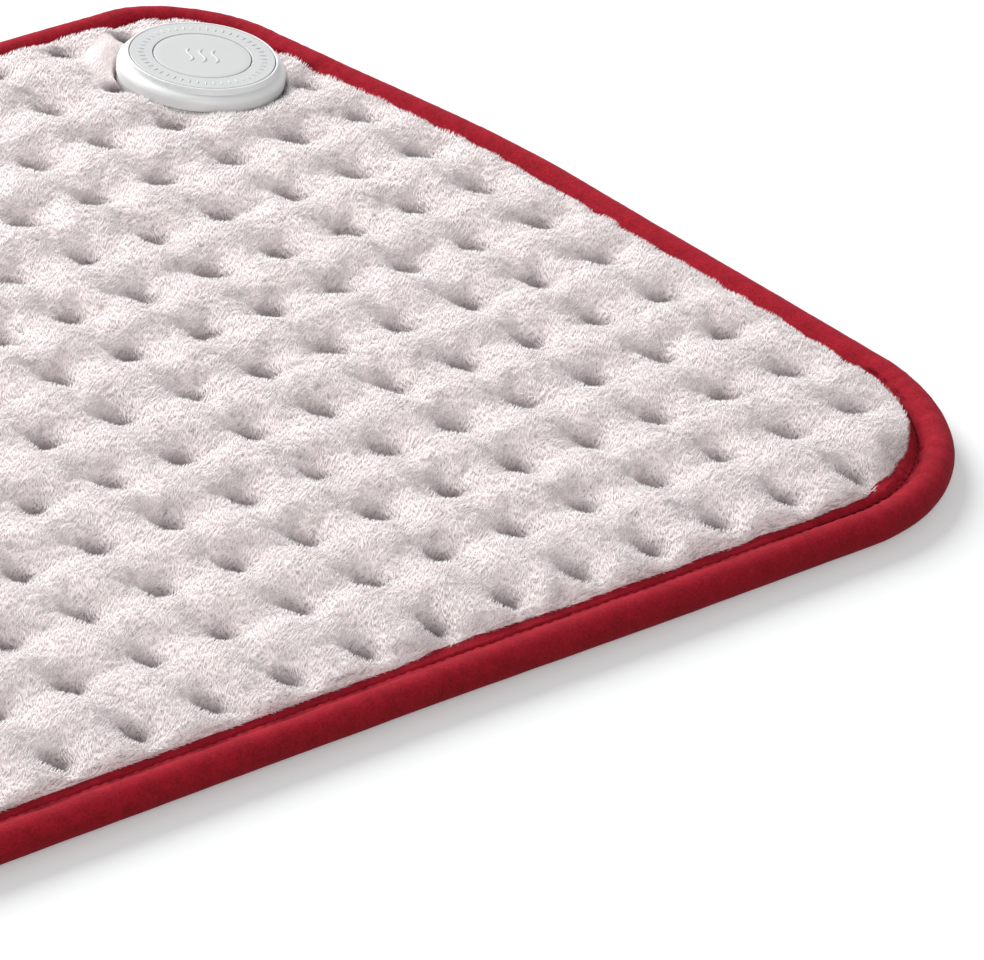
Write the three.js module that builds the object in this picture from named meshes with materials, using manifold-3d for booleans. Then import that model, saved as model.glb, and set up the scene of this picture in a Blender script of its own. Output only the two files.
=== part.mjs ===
// A quilted heating pad with a round control unit clamped to one corner.
//
// The pad is a stack of layers: a flat back cover, a thin carrier with the heating wire on it,
// wadding with a groove over the wire, and a plush top cover drawn down in a square grid of
// dimples. A rolled edge tape round a foam core closes the layers. The control unit stands on the
// plush: a clamp plate inside the pad and three screws hold its base, and the base carries the
// circuit board, the supply inlet, the upper shell, the face ring and a large press button over a
// key switch.
//
// Millimetres, +Z up. The origin is the middle of the pad's underside, +X runs along the long side,
// and the control unit is in the +X +Y corner.

import * as THREE from "three";
import { mergeVertices } from "three/addons/utils/BufferGeometryUtils.js";
import Module from "manifold-3d";

const wasm = await Module();
wasm.setup();

// Clearances and cuts
const FIT_GAP = 0.3; // between pieces that lie against each other
const CUT_OVERRUN = 1; // how far a cutting tool passes the face that it cuts

// Pad outline
const PAD_LENGTH = 440;
const PAD_WIDTH = 330;
const CORNER_RADIUS = 67;
const UNIT_CORNER_RADIUS = 35; // the corner beside the control unit is rounded less
const UNIT_CORNER_LEAN = 15.4; // and the short side is drawn in by this much there
const LEAN_FADE_X = 100; // the lean dies out over this distance from the short side
const LEAN_REACH_Y = 144; // and over this distance from the far side

// Edge roll and its tape
const ROLL_DIAMETER = 9.6;
const ROLL_FLAT = 2.4; // the flat on which the roll rests
const TAPE_THICKNESS = 0.9;
const SEAM_WIDTH = 0.8; // the stitched groove between the roll and the hem
const SEAM_DEPTH = 0.6;
const HEM_WIDTH = 2.3;
const HEM_THICKNESS = 0.8;
const HEM_TOP = 7.4;

// Layers, from the bottom up
const BACK_THICKNESS = 1;
const CARRIER_THICKNESS = 0.5;
const WADDING_THICKNESS = 2.2;
const COVER_PRESSED = 1.1; // the plush cover's thickness at a dimple
const PILE_RISE = 7; // from a dimple up to the crown beside it

// Quilting
const QUILT_PITCH = 24;
const QUILT_SHIFT_X = -1.4; // the grid of dimples sits off centre
const QUILT_SHIFT_Y = 3.2;
const EDGE_EASE = 8; // over this distance from the hem the crowns reach full height

// Heating wire and its cut-outs
const WIRE_DIAMETER = 1.5;
const WIRE_BEND_RADIUS = 8;
const WIRE_MARGIN = 10; // least distance from the layers' edge
const LEAD_BEND_RADIUS = 1.8;
const CUTOUT_LENGTH = 12;
const CUTOUT_WIDTH = 5;
const CUTOUT_HEIGHT = 1.5;

// Control unit: its place, its base and its upper shell
const UNIT_EDGE_X = 55.1; // from the short side to the unit's middle
const UNIT_EDGE_Y = 50; // from the far side to the unit's middle
const UNIT_RADIUS = 23.4;
const UNIT_HEIGHT = 11.2;
const BASE_STEP = 0.4; // the base is this much smaller in radius than the shell
const BASE_HEIGHT = 5;
const BASE_FLOOR = 1.4;
const BASE_WALL = 1.7;
const BASE_CHAMFER = 0.8;
const SHELL_WALL = 1.6;
const SHELL_RIM_ROUND = 1.2;
const SHELL_STEP = 1.9; // from the rim up to the flat face
const SHELL_LAND = 0.6; // the shell's own narrow share of the flat face
const LEDGE_WIDTH = 1.9; // the ledge that carries the face ring
const LEDGE_THICKNESS = 1.3;
const TONGUE_WALL = 1.2; // the tongue that locates the shell in the base
const TONGUE_DEPTH = 1;

// Face ring and press button
const FACE_RADIUS = 20.1;
const FACE_THICKNESS = 1.1;
const COLLAR_WALL = 1.2;
const COLLAR_DEPTH = 1.2;
const BUTTON_RADIUS = 13.5;
const BUTTON_THICKNESS = 1.2;
const BUTTON_EDGE = 0.25;
const BUTTON_SKIRT = 1.2;
const FLANGE_WIDTH = 1.1;
const FLANGE_THICKNESS = 0.8;
const BUTTON_TRAVEL = 0.8;
const STEM_RADIUS = 2;

// Circuit board and what stands on it
const BOARD_RADIUS = 17.6;
const BOARD_THICKNESS = 1.2;
const POST_RADIUS = 2.1;
const POST_HEIGHT = 1.5;
const KEY_SIZE = 6;
const KEY_HEIGHT = 2.4;
const PLUNGER_RADIUS = 1.6;
const PLUNGER_LENGTH = 1.4;
const PLUNGER_SEAT = 0.6; // how much of the plunger is inside the key switch at rest
const SPRING_RADIUS = 5.4;
const SPRING_WIRE = 0.5;
const LEAD_SPACING = 30; // between the two leads that come up into the unit
const LEAD_AHEAD = 2; // of the unit's middle, towards the far side
const LEAD_SEAT = 1.5; // how far a lead reaches into its terminal
const TERMINAL_SIZE = 3.6;
const TERMINAL_HEIGHT = 2.4;
const CHIP_SIZE = 5;
const CHIP_HEIGHT = 1.5;
const CHIP_Y = 9.4;
const TRIAC_LENGTH = 6.5;
const TRIAC_WIDTH = 5.6;
const TRIAC_HEIGHT = 2.3;
const TRIAC_X = 9.4;
const TRIAC_Y = -7;
const CAPACITOR_LENGTH = 8;
const CAPACITOR_WIDTH = 4;
const CAPACITOR_HEIGHT = 2.5;
const CAPACITOR_X = -9.2;
const CAPACITOR_Y = -6.4;
const FUSE_LENGTH = 6.5;
const FUSE_RADIUS = 1.2;
const FUSE_X = -9.6;
const FUSE_Y = 1.2;

// Supply inlet
const INLET_WIDTH = 12.4;
const INLET_HEIGHT = 4.4;
const INLET_DEPTH = 7.2;
const INLET_WALL = 0.95;
const INLET_REAR_WALL = 1.4;
const INLET_SETBACK = 0.9; // of its face from the shell's roundest point
const PIN_WIDTH = 1;
const PIN_THICKNESS = 0.6;
const PIN_FORE_LENGTH = 2.6; // inside the inlet
const PIN_AFT_LENGTH = 1.7; // behind the inlet, over the board
const PIN_SPACING = 3.1;
const SCOOP_LENGTH = 8; // the plush is pressed down this far in front of the inlet
const SCOOP_MARGIN = 2;

// Clamp plate, clamp screws and board screws
const CLAMP_RADIUS = 20.5;
const CLAMPED_WIDTH = 4; // of the cover's rim between the plate and the base
const CLAMP_THICKNESS = 1.2;
const CLAMP_SCREW_CIRCLE = 10.5;
const CLAMP_SCREW_RADIUS = 1.15;
const CLAMP_SCREW_GRIP = 1.2; // how far the screw reaches past the base's floor
const CLAMP_HEAD_RADIUS = 2.1;
const CLAMP_HEAD_HEIGHT = 0.7;
const BOSS_RADIUS = 2.3;
const BOARD_SCREW_CIRCLE = 13.2;
const BOARD_SCREW_RADIUS = 0.8;
const BOARD_SCREW_GRIP = 1.4; // how far the screw reaches into its post
const BOARD_HEAD_RADIUS = 1.5;
const BOARD_HEAD_HEIGHT = 0.8;

// Shares, angles and counts
const SADDLE_SHARE = 0.8; // the ridge between two dimples, of a crown's rise
const EDGE_RISE_SHARE = 0.6; // a crown's rise at the hem
const CLAMP_SCREW_ANGLES = [90, 210, 330];
const BOARD_SCREW_ANGLES = [35, 145, 270];
const PIN_COUNT = 3;
const SPRING_TURNS = 2.5;
const CUTOUT_RUNS = [3, 8]; // the runs of wire that hold a cut-out

// How finely round shapes are drawn
const ROUND_STEPS = 36;
const SEAT_STEPS = 12; // of the unit's seat in the plush and the hole under it
const SMALL_ROUND_STEPS = 12;
const CORNER_STEPS = 4;
const SIDE_STEPS = 5; // along the short side that leans in
const BEND_STEPS = 3;
const ROLL_STEPS = 12;
const CORE_STEPS = 8;
const WIRE_SIDES = 6;
const SPRING_STEPS = 8;
const SPRING_SIDES = 5;
const EDGE_STEPS = 3; // on the shell's rounded rim and on its hollow step

// Heights that follow from the layers
const carrierBottom = BACK_THICKNESS + FIT_GAP;
const carrierTop = carrierBottom + CARRIER_THICKNESS;
const wireRadius = WIRE_DIAMETER / 2;
const wireZ = carrierTop + FIT_GAP + wireRadius;
const waddingBottom = carrierTop + FIT_GAP;
const waddingTop = waddingBottom + WADDING_THICKNESS;
const coverBottom = waddingTop + FIT_GAP;
const dimpleZ = coverBottom + COVER_PRESSED;
const hemBottom = HEM_TOP - SEAM_DEPTH - HEM_THICKNESS;
const marginTop = hemBottom - FIT_GAP;

// The pad's half sizes, and insets from its outer edge
const halfLength = PAD_LENGTH / 2;
const halfWidth = PAD_WIDTH / 2;
const rollRadius = ROLL_DIAMETER / 2;
const coreRadius = rollRadius - TAPE_THICKNESS - FIT_GAP;
const layerInset = ROLL_DIAMETER + FIT_GAP;
const hemInset = ROLL_DIAMETER + SEAM_WIDTH + HEM_WIDTH;
const plushInset = hemInset + FIT_GAP;

// The control unit's place, and heights above its underside
const unitX = halfLength - UNIT_EDGE_X;
const unitY = halfWidth - UNIT_EDGE_Y;
const unitZ = dimpleZ + FIT_GAP;
const seatRadius = UNIT_RADIUS + FIT_GAP;
const baseRadius = UNIT_RADIUS - BASE_STEP;
const baseInnerRadius = baseRadius - BASE_WALL;
const seamZ = BASE_HEIGHT + FIT_GAP;
const faceBottom = UNIT_HEIGHT - FACE_THICKNESS;
const pocketRadius = FACE_RADIUS + FIT_GAP;
const ledgeTop = faceBottom - FIT_GAP;
const ledgeBottom = ledgeTop - LEDGE_THICKNESS;
const ledgeRadius = pocketRadius - LEDGE_WIDTH;
const flangeTop = faceBottom - FIT_GAP;
const flangeBottom = flangeTop - FLANGE_THICKNESS;
const buttonCeiling = UNIT_HEIGHT - BUTTON_THICKNESS;
const postTop = BASE_FLOOR + POST_HEIGHT;
const boardBottom = postTop + FIT_GAP;
const boardTop = boardBottom + BOARD_THICKNESS;
const partsBottom = boardTop + FIT_GAP;
const keyTop = partsBottom + KEY_HEIGHT;
const plungerBottom = keyTop - PLUNGER_SEAT;
const plungerTop = plungerBottom + PLUNGER_LENGTH;
const inletTop = ledgeBottom - FIT_GAP;
const inletBottom = inletTop - INLET_HEIGHT;
const inletFront = UNIT_RADIUS - INLET_SETBACK;
const inletRear = inletFront - INLET_DEPTH;
const pinZ = inletTop - INLET_HEIGHT / 2;
const clampTop = coverBottom - FIT_GAP;
const clampBottom = clampTop - CLAMP_THICKNESS;

// Where the two leads come up
const leadLeftX = unitX - LEAD_SPACING / 2;
const leadRightX = unitX + LEAD_SPACING / 2;
const leadY = unitY + LEAD_AHEAD;
const leadTop = unitZ + partsBottom + LEAD_SEAT;
const boreRadius = wireRadius + FIT_GAP; // of every hole that a lead passes through

// Materials
function finish(color, roughness, metalness = 0) {
  return new THREE.MeshStandardMaterial({ color, roughness, metalness });
}
const plush = finish(0xeae2e1, 1);
const redTape = finish(0x9c1426, 0.9);
const backCloth = finish(0xe3dad8, 1);
const greyFelt = finish(0xd9d9d6, 1);
const paleFibre = finish(0xf0efec, 1);
const paleFoam = finish(0xe8e4d8, 1);
const whitePlastic = finish(0xe4e6e6, 0.4);
const greyPlastic = finish(0x9a9c9e, 0.5);
const blackPlastic = finish(0x1c1c1e, 0.5);
const boardGreen = finish(0x1f5a37, 0.6);
const wireSilicone = finish(0xd8b48a, 0.6);
const steel = finish(0xb9bbbd, 0.35, 1);
const brass = finish(0xc8a24a, 0.35, 1);

// A closed geometry as a solid that can be joined and cut
function solidOf(geometry) {
  const bare = geometry.clone();
  bare.deleteAttribute("normal");
  bare.deleteAttribute("uv");
  const merged = mergeVertices(bare);
  const triangles = [];
  for (let corner = 0; corner < merged.index.count; corner += 3) {
    const [a, b, c] = merged.index.array.slice(corner, corner + 3);
    if (a !== b && b !== c && c !== a) {
      triangles.push(a, b, c);
    }
  }
  const mesh = new wasm.Mesh({
    numProp: 3,
    vertProperties: merged.attributes.position.array,
    triVerts: new Uint32Array(triangles),
  });
  return new wasm.Manifold(mesh);
}

// A solid as a geometry
function geometryOf(solid) {
  const { numProp, vertProperties, triVerts } = solid.getMesh();
  const positions = [];
  for (const vertex of triVerts) {
    positions.push(...vertProperties.slice(vertex * numProp, vertex * numProp + 3));
  }
  const geometry = new THREE.BufferGeometry();
  geometry.setAttribute("position", new THREE.Float32BufferAttribute(positions, 3));
  geometry.computeVertexNormals();
  return geometry;
}

function piece(name, solid, material) {
  const mesh = new THREE.Mesh(geometryOf(solid), material);
  mesh.name = name;
  return mesh;
}

// A flat outline of points, drawn from one height up to another
function prism(points, bottom, top) {
  const shape = new THREE.Shape(points);
  const geometry = new THREE.ExtrudeGeometry(shape, {
    depth: top - bottom,
    bevelEnabled: false,
  });
  return solidOf(geometry.translate(0, 0, bottom));
}

function block(width, depth, x, y, bottom, top) {
  const geometry = new THREE.BoxGeometry(width, depth, top - bottom);
  return solidOf(geometry.translate(x, y, (bottom + top) / 2));
}

function rod(radius, x, y, bottom, top, steps = SMALL_ROUND_STEPS) {
  const geometry = new THREE.CylinderGeometry(radius, radius, top - bottom, steps);
  geometry.rotateX(Math.PI / 2).translate(x, y, (bottom + top) / 2);
  return solidOf(geometry);
}

// A profile of [radius, height] points turned round the Z axis, up the outside and down the
// inside. It starts and ends on the axis, or is closed here.
function turned(profile, steps = ROUND_STEPS) {
  const loop = profile[0][0] === 0 ? profile : [...profile, profile[0]];
  const points = loop.map(([radius, height]) => new THREE.Vector2(radius, height));
  return solidOf(new THREE.LatheGeometry(points, steps).rotateX(Math.PI / 2));
}

function cutAll(solid, cutters) {
  return cutters.reduce((left, cutter) => left.subtract(cutter), solid);
}

function joinAll(solids) {
  return solids.reduce((whole, solid) => whole.add(solid));
}

function onCircle(radius, degrees) {
  const angle = THREE.MathUtils.degToRad(degrees);
  return [radius * Math.cos(angle), radius * Math.sin(angle)];
}

function smooth(share) {
  const t = THREE.MathUtils.clamp(share, 0, 1);
  return t * t * (3 - 2 * t);
}

// Faces between rings of points that follow each other. Closed joins the last ring to the first,
// otherwise the end rings are capped with fans.
function skin(rings, closed) {
  const sides = rings[0].length;
  const indices = [];
  const spans = closed ? rings.length : rings.length - 1;
  for (let ring = 0; ring < spans; ring += 1) {
    const here = ring * sides;
    const next = ((ring + 1) % rings.length) * sides;
    for (let side = 0; side < sides; side += 1) {
      const after = (side + 1) % sides;
      indices.push(here + side, next + side, next + after);
      indices.push(here + side, next + after, here + after);
    }
  }
  if (!closed) {
    const end = (rings.length - 1) * sides;
    for (let side = 1; side < sides - 1; side += 1) {
      indices.push(0, side, side + 1);
      indices.push(end, end + side + 1, end + side);
    }
  }
  const positions = rings.flat().flatMap((point) => point.toArray());
  const geometry = new THREE.BufferGeometry();
  geometry.setAttribute("position", new THREE.Float32BufferAttribute(positions, 3));
  geometry.setIndex(indices);
  return solidOf(geometry);
}

// A round tube through points, with its section carried along without twist
function tube(points, radius, sides) {
  const tangents = points.map((point, index) => {
    const before = points[Math.max(index - 1, 0)];
    const after = points[Math.min(index + 1, points.length - 1)];
    return after.clone().sub(before).normalize();
  });
  const upright = Math.abs(tangents[0].z) > Math.SQRT1_2;
  const side = upright ? new THREE.Vector3(1, 0, 0) : new THREE.Vector3(0, 0, 1);
  side.addScaledVector(tangents[0], -side.dot(tangents[0])).normalize();
  const rings = points.map((point, index) => {
    if (index > 0) {
      const turn = new THREE.Quaternion();
      side.applyQuaternion(turn.setFromUnitVectors(tangents[index - 1], tangents[index]));
    }
    const across = new THREE.Vector3().crossVectors(tangents[index], side);
    return Array.from({ length: sides }, (_, step) => {
      const angle = (-2 * Math.PI * step) / sides;
      const offset = side.clone().multiplyScalar(Math.cos(angle));
      offset.addScaledVector(across, Math.sin(angle));
      return point.clone().addScaledVector(offset, radius);
    });
  });
  return skin(rings, false);
}

// How far the outline leans in at a point near the control unit's corner
function leanAt(x, y) {
  const along = smooth((y - halfWidth + LEAN_REACH_Y) / LEAN_REACH_Y);
  const across = smooth((x - halfLength + LEAN_FADE_X) / (LEAN_FADE_X - UNIT_CORNER_RADIUS / 2));
  return UNIT_CORNER_LEAN * along * across;
}

// The pad's outline as a loop of { point, normal }, inset from the outer edge
function outlineStations(inset) {
  const corners = [
    { signX: 1, signY: -1, start: -90, radius: CORNER_RADIUS },
    { signX: 1, signY: 1, start: 0, radius: UNIT_CORNER_RADIUS },
    { signX: -1, signY: 1, start: 90, radius: CORNER_RADIUS },
    { signX: -1, signY: -1, start: 180, radius: CORNER_RADIUS },
  ];
  const outer = [];
  for (const { signX, signY, start, radius } of corners) {
    const centreX = signX * (halfLength - radius);
    const centreY = signY * (halfWidth - radius);
    for (let step = 0; step <= CORNER_STEPS; step += 1) {
      const [x, y] = onCircle(radius, start + (90 * step) / CORNER_STEPS);
      outer.push(new THREE.Vector2(centreX + x, centreY + y));
    }
    if (signX > 0 && signY < 0) {
      const from = centreY;
      const to = halfWidth - UNIT_CORNER_RADIUS;
      for (let step = 1; step < SIDE_STEPS; step += 1) {
        outer.push(new THREE.Vector2(halfLength, from + ((to - from) * step) / SIDE_STEPS));
      }
    }
  }
  for (const point of outer) {
    point.x -= leanAt(point.x, point.y);
  }
  return outer.map((point, index) => {
    const inward = point.clone().sub(outer.at(index - 1)).normalize();
    const onward = outer[(index + 1) % outer.length].clone().sub(point).normalize();
    const tangent = inward.clone().add(onward).normalize();
    const normal = new THREE.Vector2(tangent.y, -tangent.x);
    const stretch = 1 / tangent.dot(inward);
    return { point: point.clone().addScaledVector(normal, -inset * stretch), normal };
  });
}

function layer(inset, bottom, top) {
  const points = outlineStations(inset).map(({ point }) => point);
  return prism(points, bottom, top);
}

// A closed [outward, height] section carried round the middle line of the edge roll
function edgeRing(section) {
  const rings = outlineStations(rollRadius).map(({ point, normal }) =>
    section.map(
      ([outward, height]) =>
        new THREE.Vector3(point.x + normal.x * outward, point.y + normal.y * outward, height),
    ),
  );
  return skin(rings, true);
}

// Points on the roll's round section between two angles, in degrees, flat where it rests
function rollArc(radius, start, end, steps) {
  return Array.from({ length: steps + 1 }, (_, step) => {
    const [outward, rise] = onCircle(radius, start + ((end - start) * step) / steps);
    return [outward, rollRadius + rise];
  });
}

function makeEdgeCore() {
  const section = rollArc(coreRadius, 0, 360 - 360 / CORE_STEPS, CORE_STEPS - 1);
  return edgeRing(section);
}

// The tape wraps the core from the hem on the plush, over the top and round to the back. The hem
// gives way to a control unit that stands close to the edge.
function makeEdgeTape() {
  const innerRadius = rollRadius - TAPE_THICKNESS;
  const hemRoot = -rollRadius - SEAM_WIDTH;
  const hemEnd = hemRoot - HEM_WIDTH;
  const mouthTop = THREE.MathUtils.radToDeg(Math.asin((hemBottom - rollRadius) / innerRadius));
  const mouthBottom = THREE.MathUtils.radToDeg(
    Math.asin((rollRadius - BACK_THICKNESS) / innerRadius),
  );
  const seamHeight = HEM_TOP - SEAM_DEPTH;
  const turn = 360 / ROLL_STEPS;
  const tape = edgeRing([
    [hemEnd, 0],
    [ROLL_FLAT / 2, 0],
    ...rollArc(rollRadius, -90 + turn, 180 - turn, (3 * ROLL_STEPS) / 4 - 2),
    [-rollRadius, seamHeight],
    [hemRoot, seamHeight],
    [hemRoot, HEM_TOP],
    [hemEnd, HEM_TOP],
    [hemEnd, hemBottom],
    ...rollArc(innerRadius, 180 - mouthTop, -180 + mouthBottom, ROLL_STEPS - 4),
    [hemEnd, BACK_THICKNESS],
  ]);
  const seatTop = HEM_TOP + CUT_OVERRUN;
  const seat = rod(seatRadius + FIT_GAP, unitX, unitY, dimpleZ, seatTop, ROUND_STEPS);
  return tape.subtract(seat);
}

// Distance from a point in the plush to its nearest edge, for easing the crowns down
function depthInPlush(x, y) {
  const besideUnit = x > 0 && y > 0;
  const radius = (besideUnit ? UNIT_CORNER_RADIUS : CORNER_RADIUS) - plushInset;
  const pastX = Math.abs(x + leanAt(x, y)) - (halfLength - plushInset - radius);
  const pastY = Math.abs(y) - (halfWidth - plushInset - radius);
  const outside = Math.hypot(Math.max(pastX, 0), Math.max(pastY, 0));
  return radius - outside - Math.min(Math.max(pastX, pastY), 0);
}

// The plush surface at a crossing of the half-pitch grid. Whole steps are dimples.
function plushHeight(column, row) {
  const x = QUILT_SHIFT_X + (column * QUILT_PITCH) / 2;
  const y = QUILT_SHIFT_Y + (row * QUILT_PITCH) / 2;
  const oddColumn = column % 2 !== 0;
  const oddRow = row % 2 !== 0;
  if (!oddColumn && !oddRow) {
    return dimpleZ;
  }
  const rise = oddColumn && oddRow ? PILE_RISE : PILE_RISE * SADDLE_SHARE;
  const ease = smooth(depthInPlush(x, y) / EDGE_EASE);
  return dimpleZ + rise * THREE.MathUtils.lerp(EDGE_RISE_SHARE, 1, ease);
}

// The quilted surface over a block that is larger than the plush all round
function makeQuilt() {
  const step = QUILT_PITCH / 2;
  const columns = Math.ceil((halfLength - plushInset + Math.abs(QUILT_SHIFT_X)) / step);
  const lowRow = Math.floor((-halfWidth + plushInset - QUILT_SHIFT_Y) / step);
  const highRow = Math.ceil((halfWidth - plushInset - QUILT_SHIFT_Y) / step);
  const across = 2 * columns + 1;
  const along = highRow - lowRow + 1;
  const positions = [];
  for (const top of [true, false]) {
    for (let row = lowRow; row <= highRow; row += 1) {
      for (let column = -columns; column <= columns; column += 1) {
        const height = top ? plushHeight(column, row) : coverBottom - CUT_OVERRUN;
        positions.push(QUILT_SHIFT_X + column * step, QUILT_SHIFT_Y + row * step, height);
      }
    }
  }
  const indices = [];
  const at = (column, row, top) => (top ? 0 : across * along) + row * across + column;
  for (let row = 0; row < along - 1; row += 1) {
    for (let column = 0; column < across - 1; column += 1) {
      const evenCorner = (column - columns + row + lowRow) % 2 === 0;
      for (const top of [true, false]) {
        const a = at(column, row, top);
        const b = at(column + 1, row, top);
        const c = at(column + 1, row + 1, top);
        const d = at(column, row + 1, top);
        const faces = evenCorner ? [a, b, c, a, c, d] : [a, b, d, b, c, d];
        indices.push(...(top ? faces : faces.reverse()));
      }
    }
  }
  const wall = (fromColumn, fromRow, toColumn, toRow) => {
    const a = at(fromColumn, fromRow, true);
    const b = at(toColumn, toRow, true);
    const c = at(toColumn, toRow, false);
    const d = at(fromColumn, fromRow, false);
    indices.push(a, d, c, a, c, b);
  };
  for (let column = 0; column < across - 1; column += 1) {
    wall(column, 0, column + 1, 0);
    wall(column + 1, along - 1, column, along - 1);
  }
  for (let row = 0; row < along - 1; row += 1) {
    wall(across - 1, row, across - 1, row + 1);
    wall(0, row + 1, 0, row);
  }
  const geometry = new THREE.BufferGeometry();
  geometry.setAttribute("position", new THREE.Float32BufferAttribute(positions, 3));
  geometry.setIndex(indices);
  return solidOf(geometry);
}

// The corners of the heating wire's route, from one lead to the other. It runs between the rows
// of dimples, so no stitch crosses it.
function wireCorners() {
  const limitX = halfLength - layerInset - WIRE_MARGIN;
  const limitY = halfWidth - layerInset - WIRE_MARGIN;
  const columnX = (column) => QUILT_SHIFT_X + (column + 0.5) * QUILT_PITCH;
  const betweenColumns = (limit) => columnX(Math.floor((limit - QUILT_SHIFT_X) / QUILT_PITCH - 0.5));
  const leftX = columnX(Math.ceil((-limitX - QUILT_SHIFT_X) / QUILT_PITCH - 0.5));
  const rightX = betweenColumns(leadRightX - QUILT_PITCH / 2);
  const firstX = betweenColumns(unitX - CLAMP_RADIUS - WIRE_BEND_RADIUS / 2);
  const highRow = Math.floor((limitY - QUILT_SHIFT_Y) / QUILT_PITCH - 0.5);
  const lowRow = Math.ceil((-limitY - QUILT_SHIFT_Y) / QUILT_PITCH - 0.5);
  const pairs = Math.floor((highRow - lowRow + 1) / 2);
  const runY = (run) => QUILT_SHIFT_Y + (highRow - run + 0.5) * QUILT_PITCH;
  const corners = [[leadLeftX, leadY], [firstX, leadY], [firstX, runY(0)]];
  for (let pair = 0; pair < pairs; pair += 1) {
    const turnX = pair === 0 ? firstX - QUILT_PITCH : rightX;
    corners.push([leftX, runY(2 * pair)], [leftX, runY(2 * pair + 1)]);
    if (pair < pairs - 1) {
      corners.push([turnX, runY(2 * pair + 1)], [turnX, runY(2 * pair + 2)]);
    }
  }
  corners.push([leadRightX, runY(2 * pairs - 1)], [leadRightX, leadY]);
  return { corners, runY };
}

// A route of right-angled corners, each rounded by an arc
function rounded(corners, radii) {
  const route = [corners[0].clone()];
  for (let index = 1; index < corners.length - 1; index += 1) {
    const back = corners[index - 1].clone().sub(corners[index]);
    const ahead = corners[index + 1].clone().sub(corners[index]);
    const radius = Math.min(radii[index], back.length() / 2, ahead.length() / 2);
    back.normalize();
    ahead.normalize();
    const centre = corners[index].clone().addScaledVector(back, radius);
    centre.addScaledVector(ahead, radius);
    for (let step = 0; step <= BEND_STEPS; step += 1) {
      const angle = (Math.PI / 2) * (step / BEND_STEPS);
      const point = centre.clone().addScaledVector(ahead, -radius * Math.cos(angle));
      route.push(point.addScaledVector(back, -radius * Math.sin(angle)));
    }
  }
  route.push(corners.at(-1).clone());
  return route;
}

// The groove over the wire, as a solid to cut from the wadding
function makeGroove(corners) {
  const flat = corners.map(([x, y]) => new THREE.Vector3(x, y, 0));
  const route = rounded(flat, flat.map(() => WIRE_BEND_RADIUS));
  const left = [];
  const right = [];
  for (const [index, point] of route.entries()) {
    const before = route[Math.max(index - 1, 0)];
    const after = route[Math.min(index + 1, route.length - 1)];
    const along = after.clone().sub(before).normalize();
    const side = new THREE.Vector2(-along.y, along.x);
    const middle = new THREE.Vector2(point.x, point.y);
    left.push(middle.clone().addScaledVector(side, boreRadius));
    right.unshift(middle.clone().addScaledVector(side, -boreRadius));
  }
  const top = wireZ + boreRadius;
  return prism([...left, ...right], waddingBottom - CUT_OVERRUN, top);
}

// The wire's stretches between the leads and the cut-outs
function makeWires(corners, cutouts) {
  const flat = corners.map(([x, y]) => new THREE.Vector3(x, y, wireZ));
  const first = flat[0].clone().setZ(leadTop);
  const last = flat.at(-1).clone().setZ(leadTop);
  const whole = [first, ...flat, last];
  const stretches = [[whole[0]]];
  const bends = [[LEAD_BEND_RADIUS]];
  for (let index = 1; index < whole.length; index += 1) {
    const from = whole[index - 1];
    const to = whole[index];
    const radius = index === 1 || index === whole.length - 2 ? LEAD_BEND_RADIUS : WIRE_BEND_RADIUS;
    const met = cutouts.find((cutout) => cutout.y === to.y && cutout.y === from.y);
    if (met) {
      const towards = Math.sign(to.x - from.x);
      const reach = CUTOUT_LENGTH / 2 + FIT_GAP;
      stretches.at(-1).push(new THREE.Vector3(met.x - towards * reach, to.y, wireZ));
      bends.at(-1).push(WIRE_BEND_RADIUS);
      stretches.push([new THREE.Vector3(met.x + towards * reach, to.y, wireZ)]);
      bends.push([WIRE_BEND_RADIUS]);
    }
    stretches.at(-1).push(to);
    bends.at(-1).push(radius);
  }
  return stretches.map((stretch, index) =>
    tube(rounded(stretch, bends[index]), wireRadius, WIRE_SIDES),
  );
}

// The places of the clamp screws, board screws and leads, in the unit's own frame
const clampPlaces = CLAMP_SCREW_ANGLES.map((degrees) => onCircle(CLAMP_SCREW_CIRCLE, degrees));
const boardPlaces = BOARD_SCREW_ANGLES.map((degrees) => onCircle(BOARD_SCREW_CIRCLE, degrees));
const leadPlaces = [leadLeftX, leadRightX].map((x) => [x - unitX, LEAD_AHEAD]);

function makeClampPlate() {
  const disc = rod(CLAMP_RADIUS, unitX, unitY, clampBottom, clampTop, ROUND_STEPS);
  const low = clampBottom - CUT_OVERRUN;
  const high = clampTop + CUT_OVERRUN;
  const cutters = clampPlaces.map(([x, y]) =>
    rod(CLAMP_SCREW_RADIUS + FIT_GAP, unitX + x, unitY + y, low, high),
  );
  const slotWidth = 2 * boreRadius;
  const slotX = leadLeftX + boreRadius - CLAMP_RADIUS / 2;
  cutters.push(block(CLAMP_RADIUS, slotWidth, slotX, leadY, low, high));
  const slotY = leadY + boreRadius - CLAMP_RADIUS / 2;
  cutters.push(block(slotWidth, CLAMP_RADIUS, leadRightX, slotY, low, high));
  return cutAll(disc, cutters);
}

function makeClampScrew([x, y]) {
  const headTop = clampBottom - unitZ - FIT_GAP;
  const tip = BASE_FLOOR + CLAMP_SCREW_GRIP;
  const head = rod(CLAMP_HEAD_RADIUS, x, y, headTop - CLAMP_HEAD_HEIGHT, headTop);
  return head.add(rod(CLAMP_SCREW_RADIUS, x, y, headTop - CLAMP_HEAD_HEIGHT / 2, tip));
}

function makeBoardScrew([x, y]) {
  const tip = postTop - BOARD_SCREW_GRIP;
  const head = rod(BOARD_HEAD_RADIUS, x, y, partsBottom, partsBottom + BOARD_HEAD_HEIGHT);
  return head.add(rod(BOARD_SCREW_RADIUS, x, y, tip, partsBottom + BOARD_HEAD_HEIGHT / 2));
}

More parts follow.
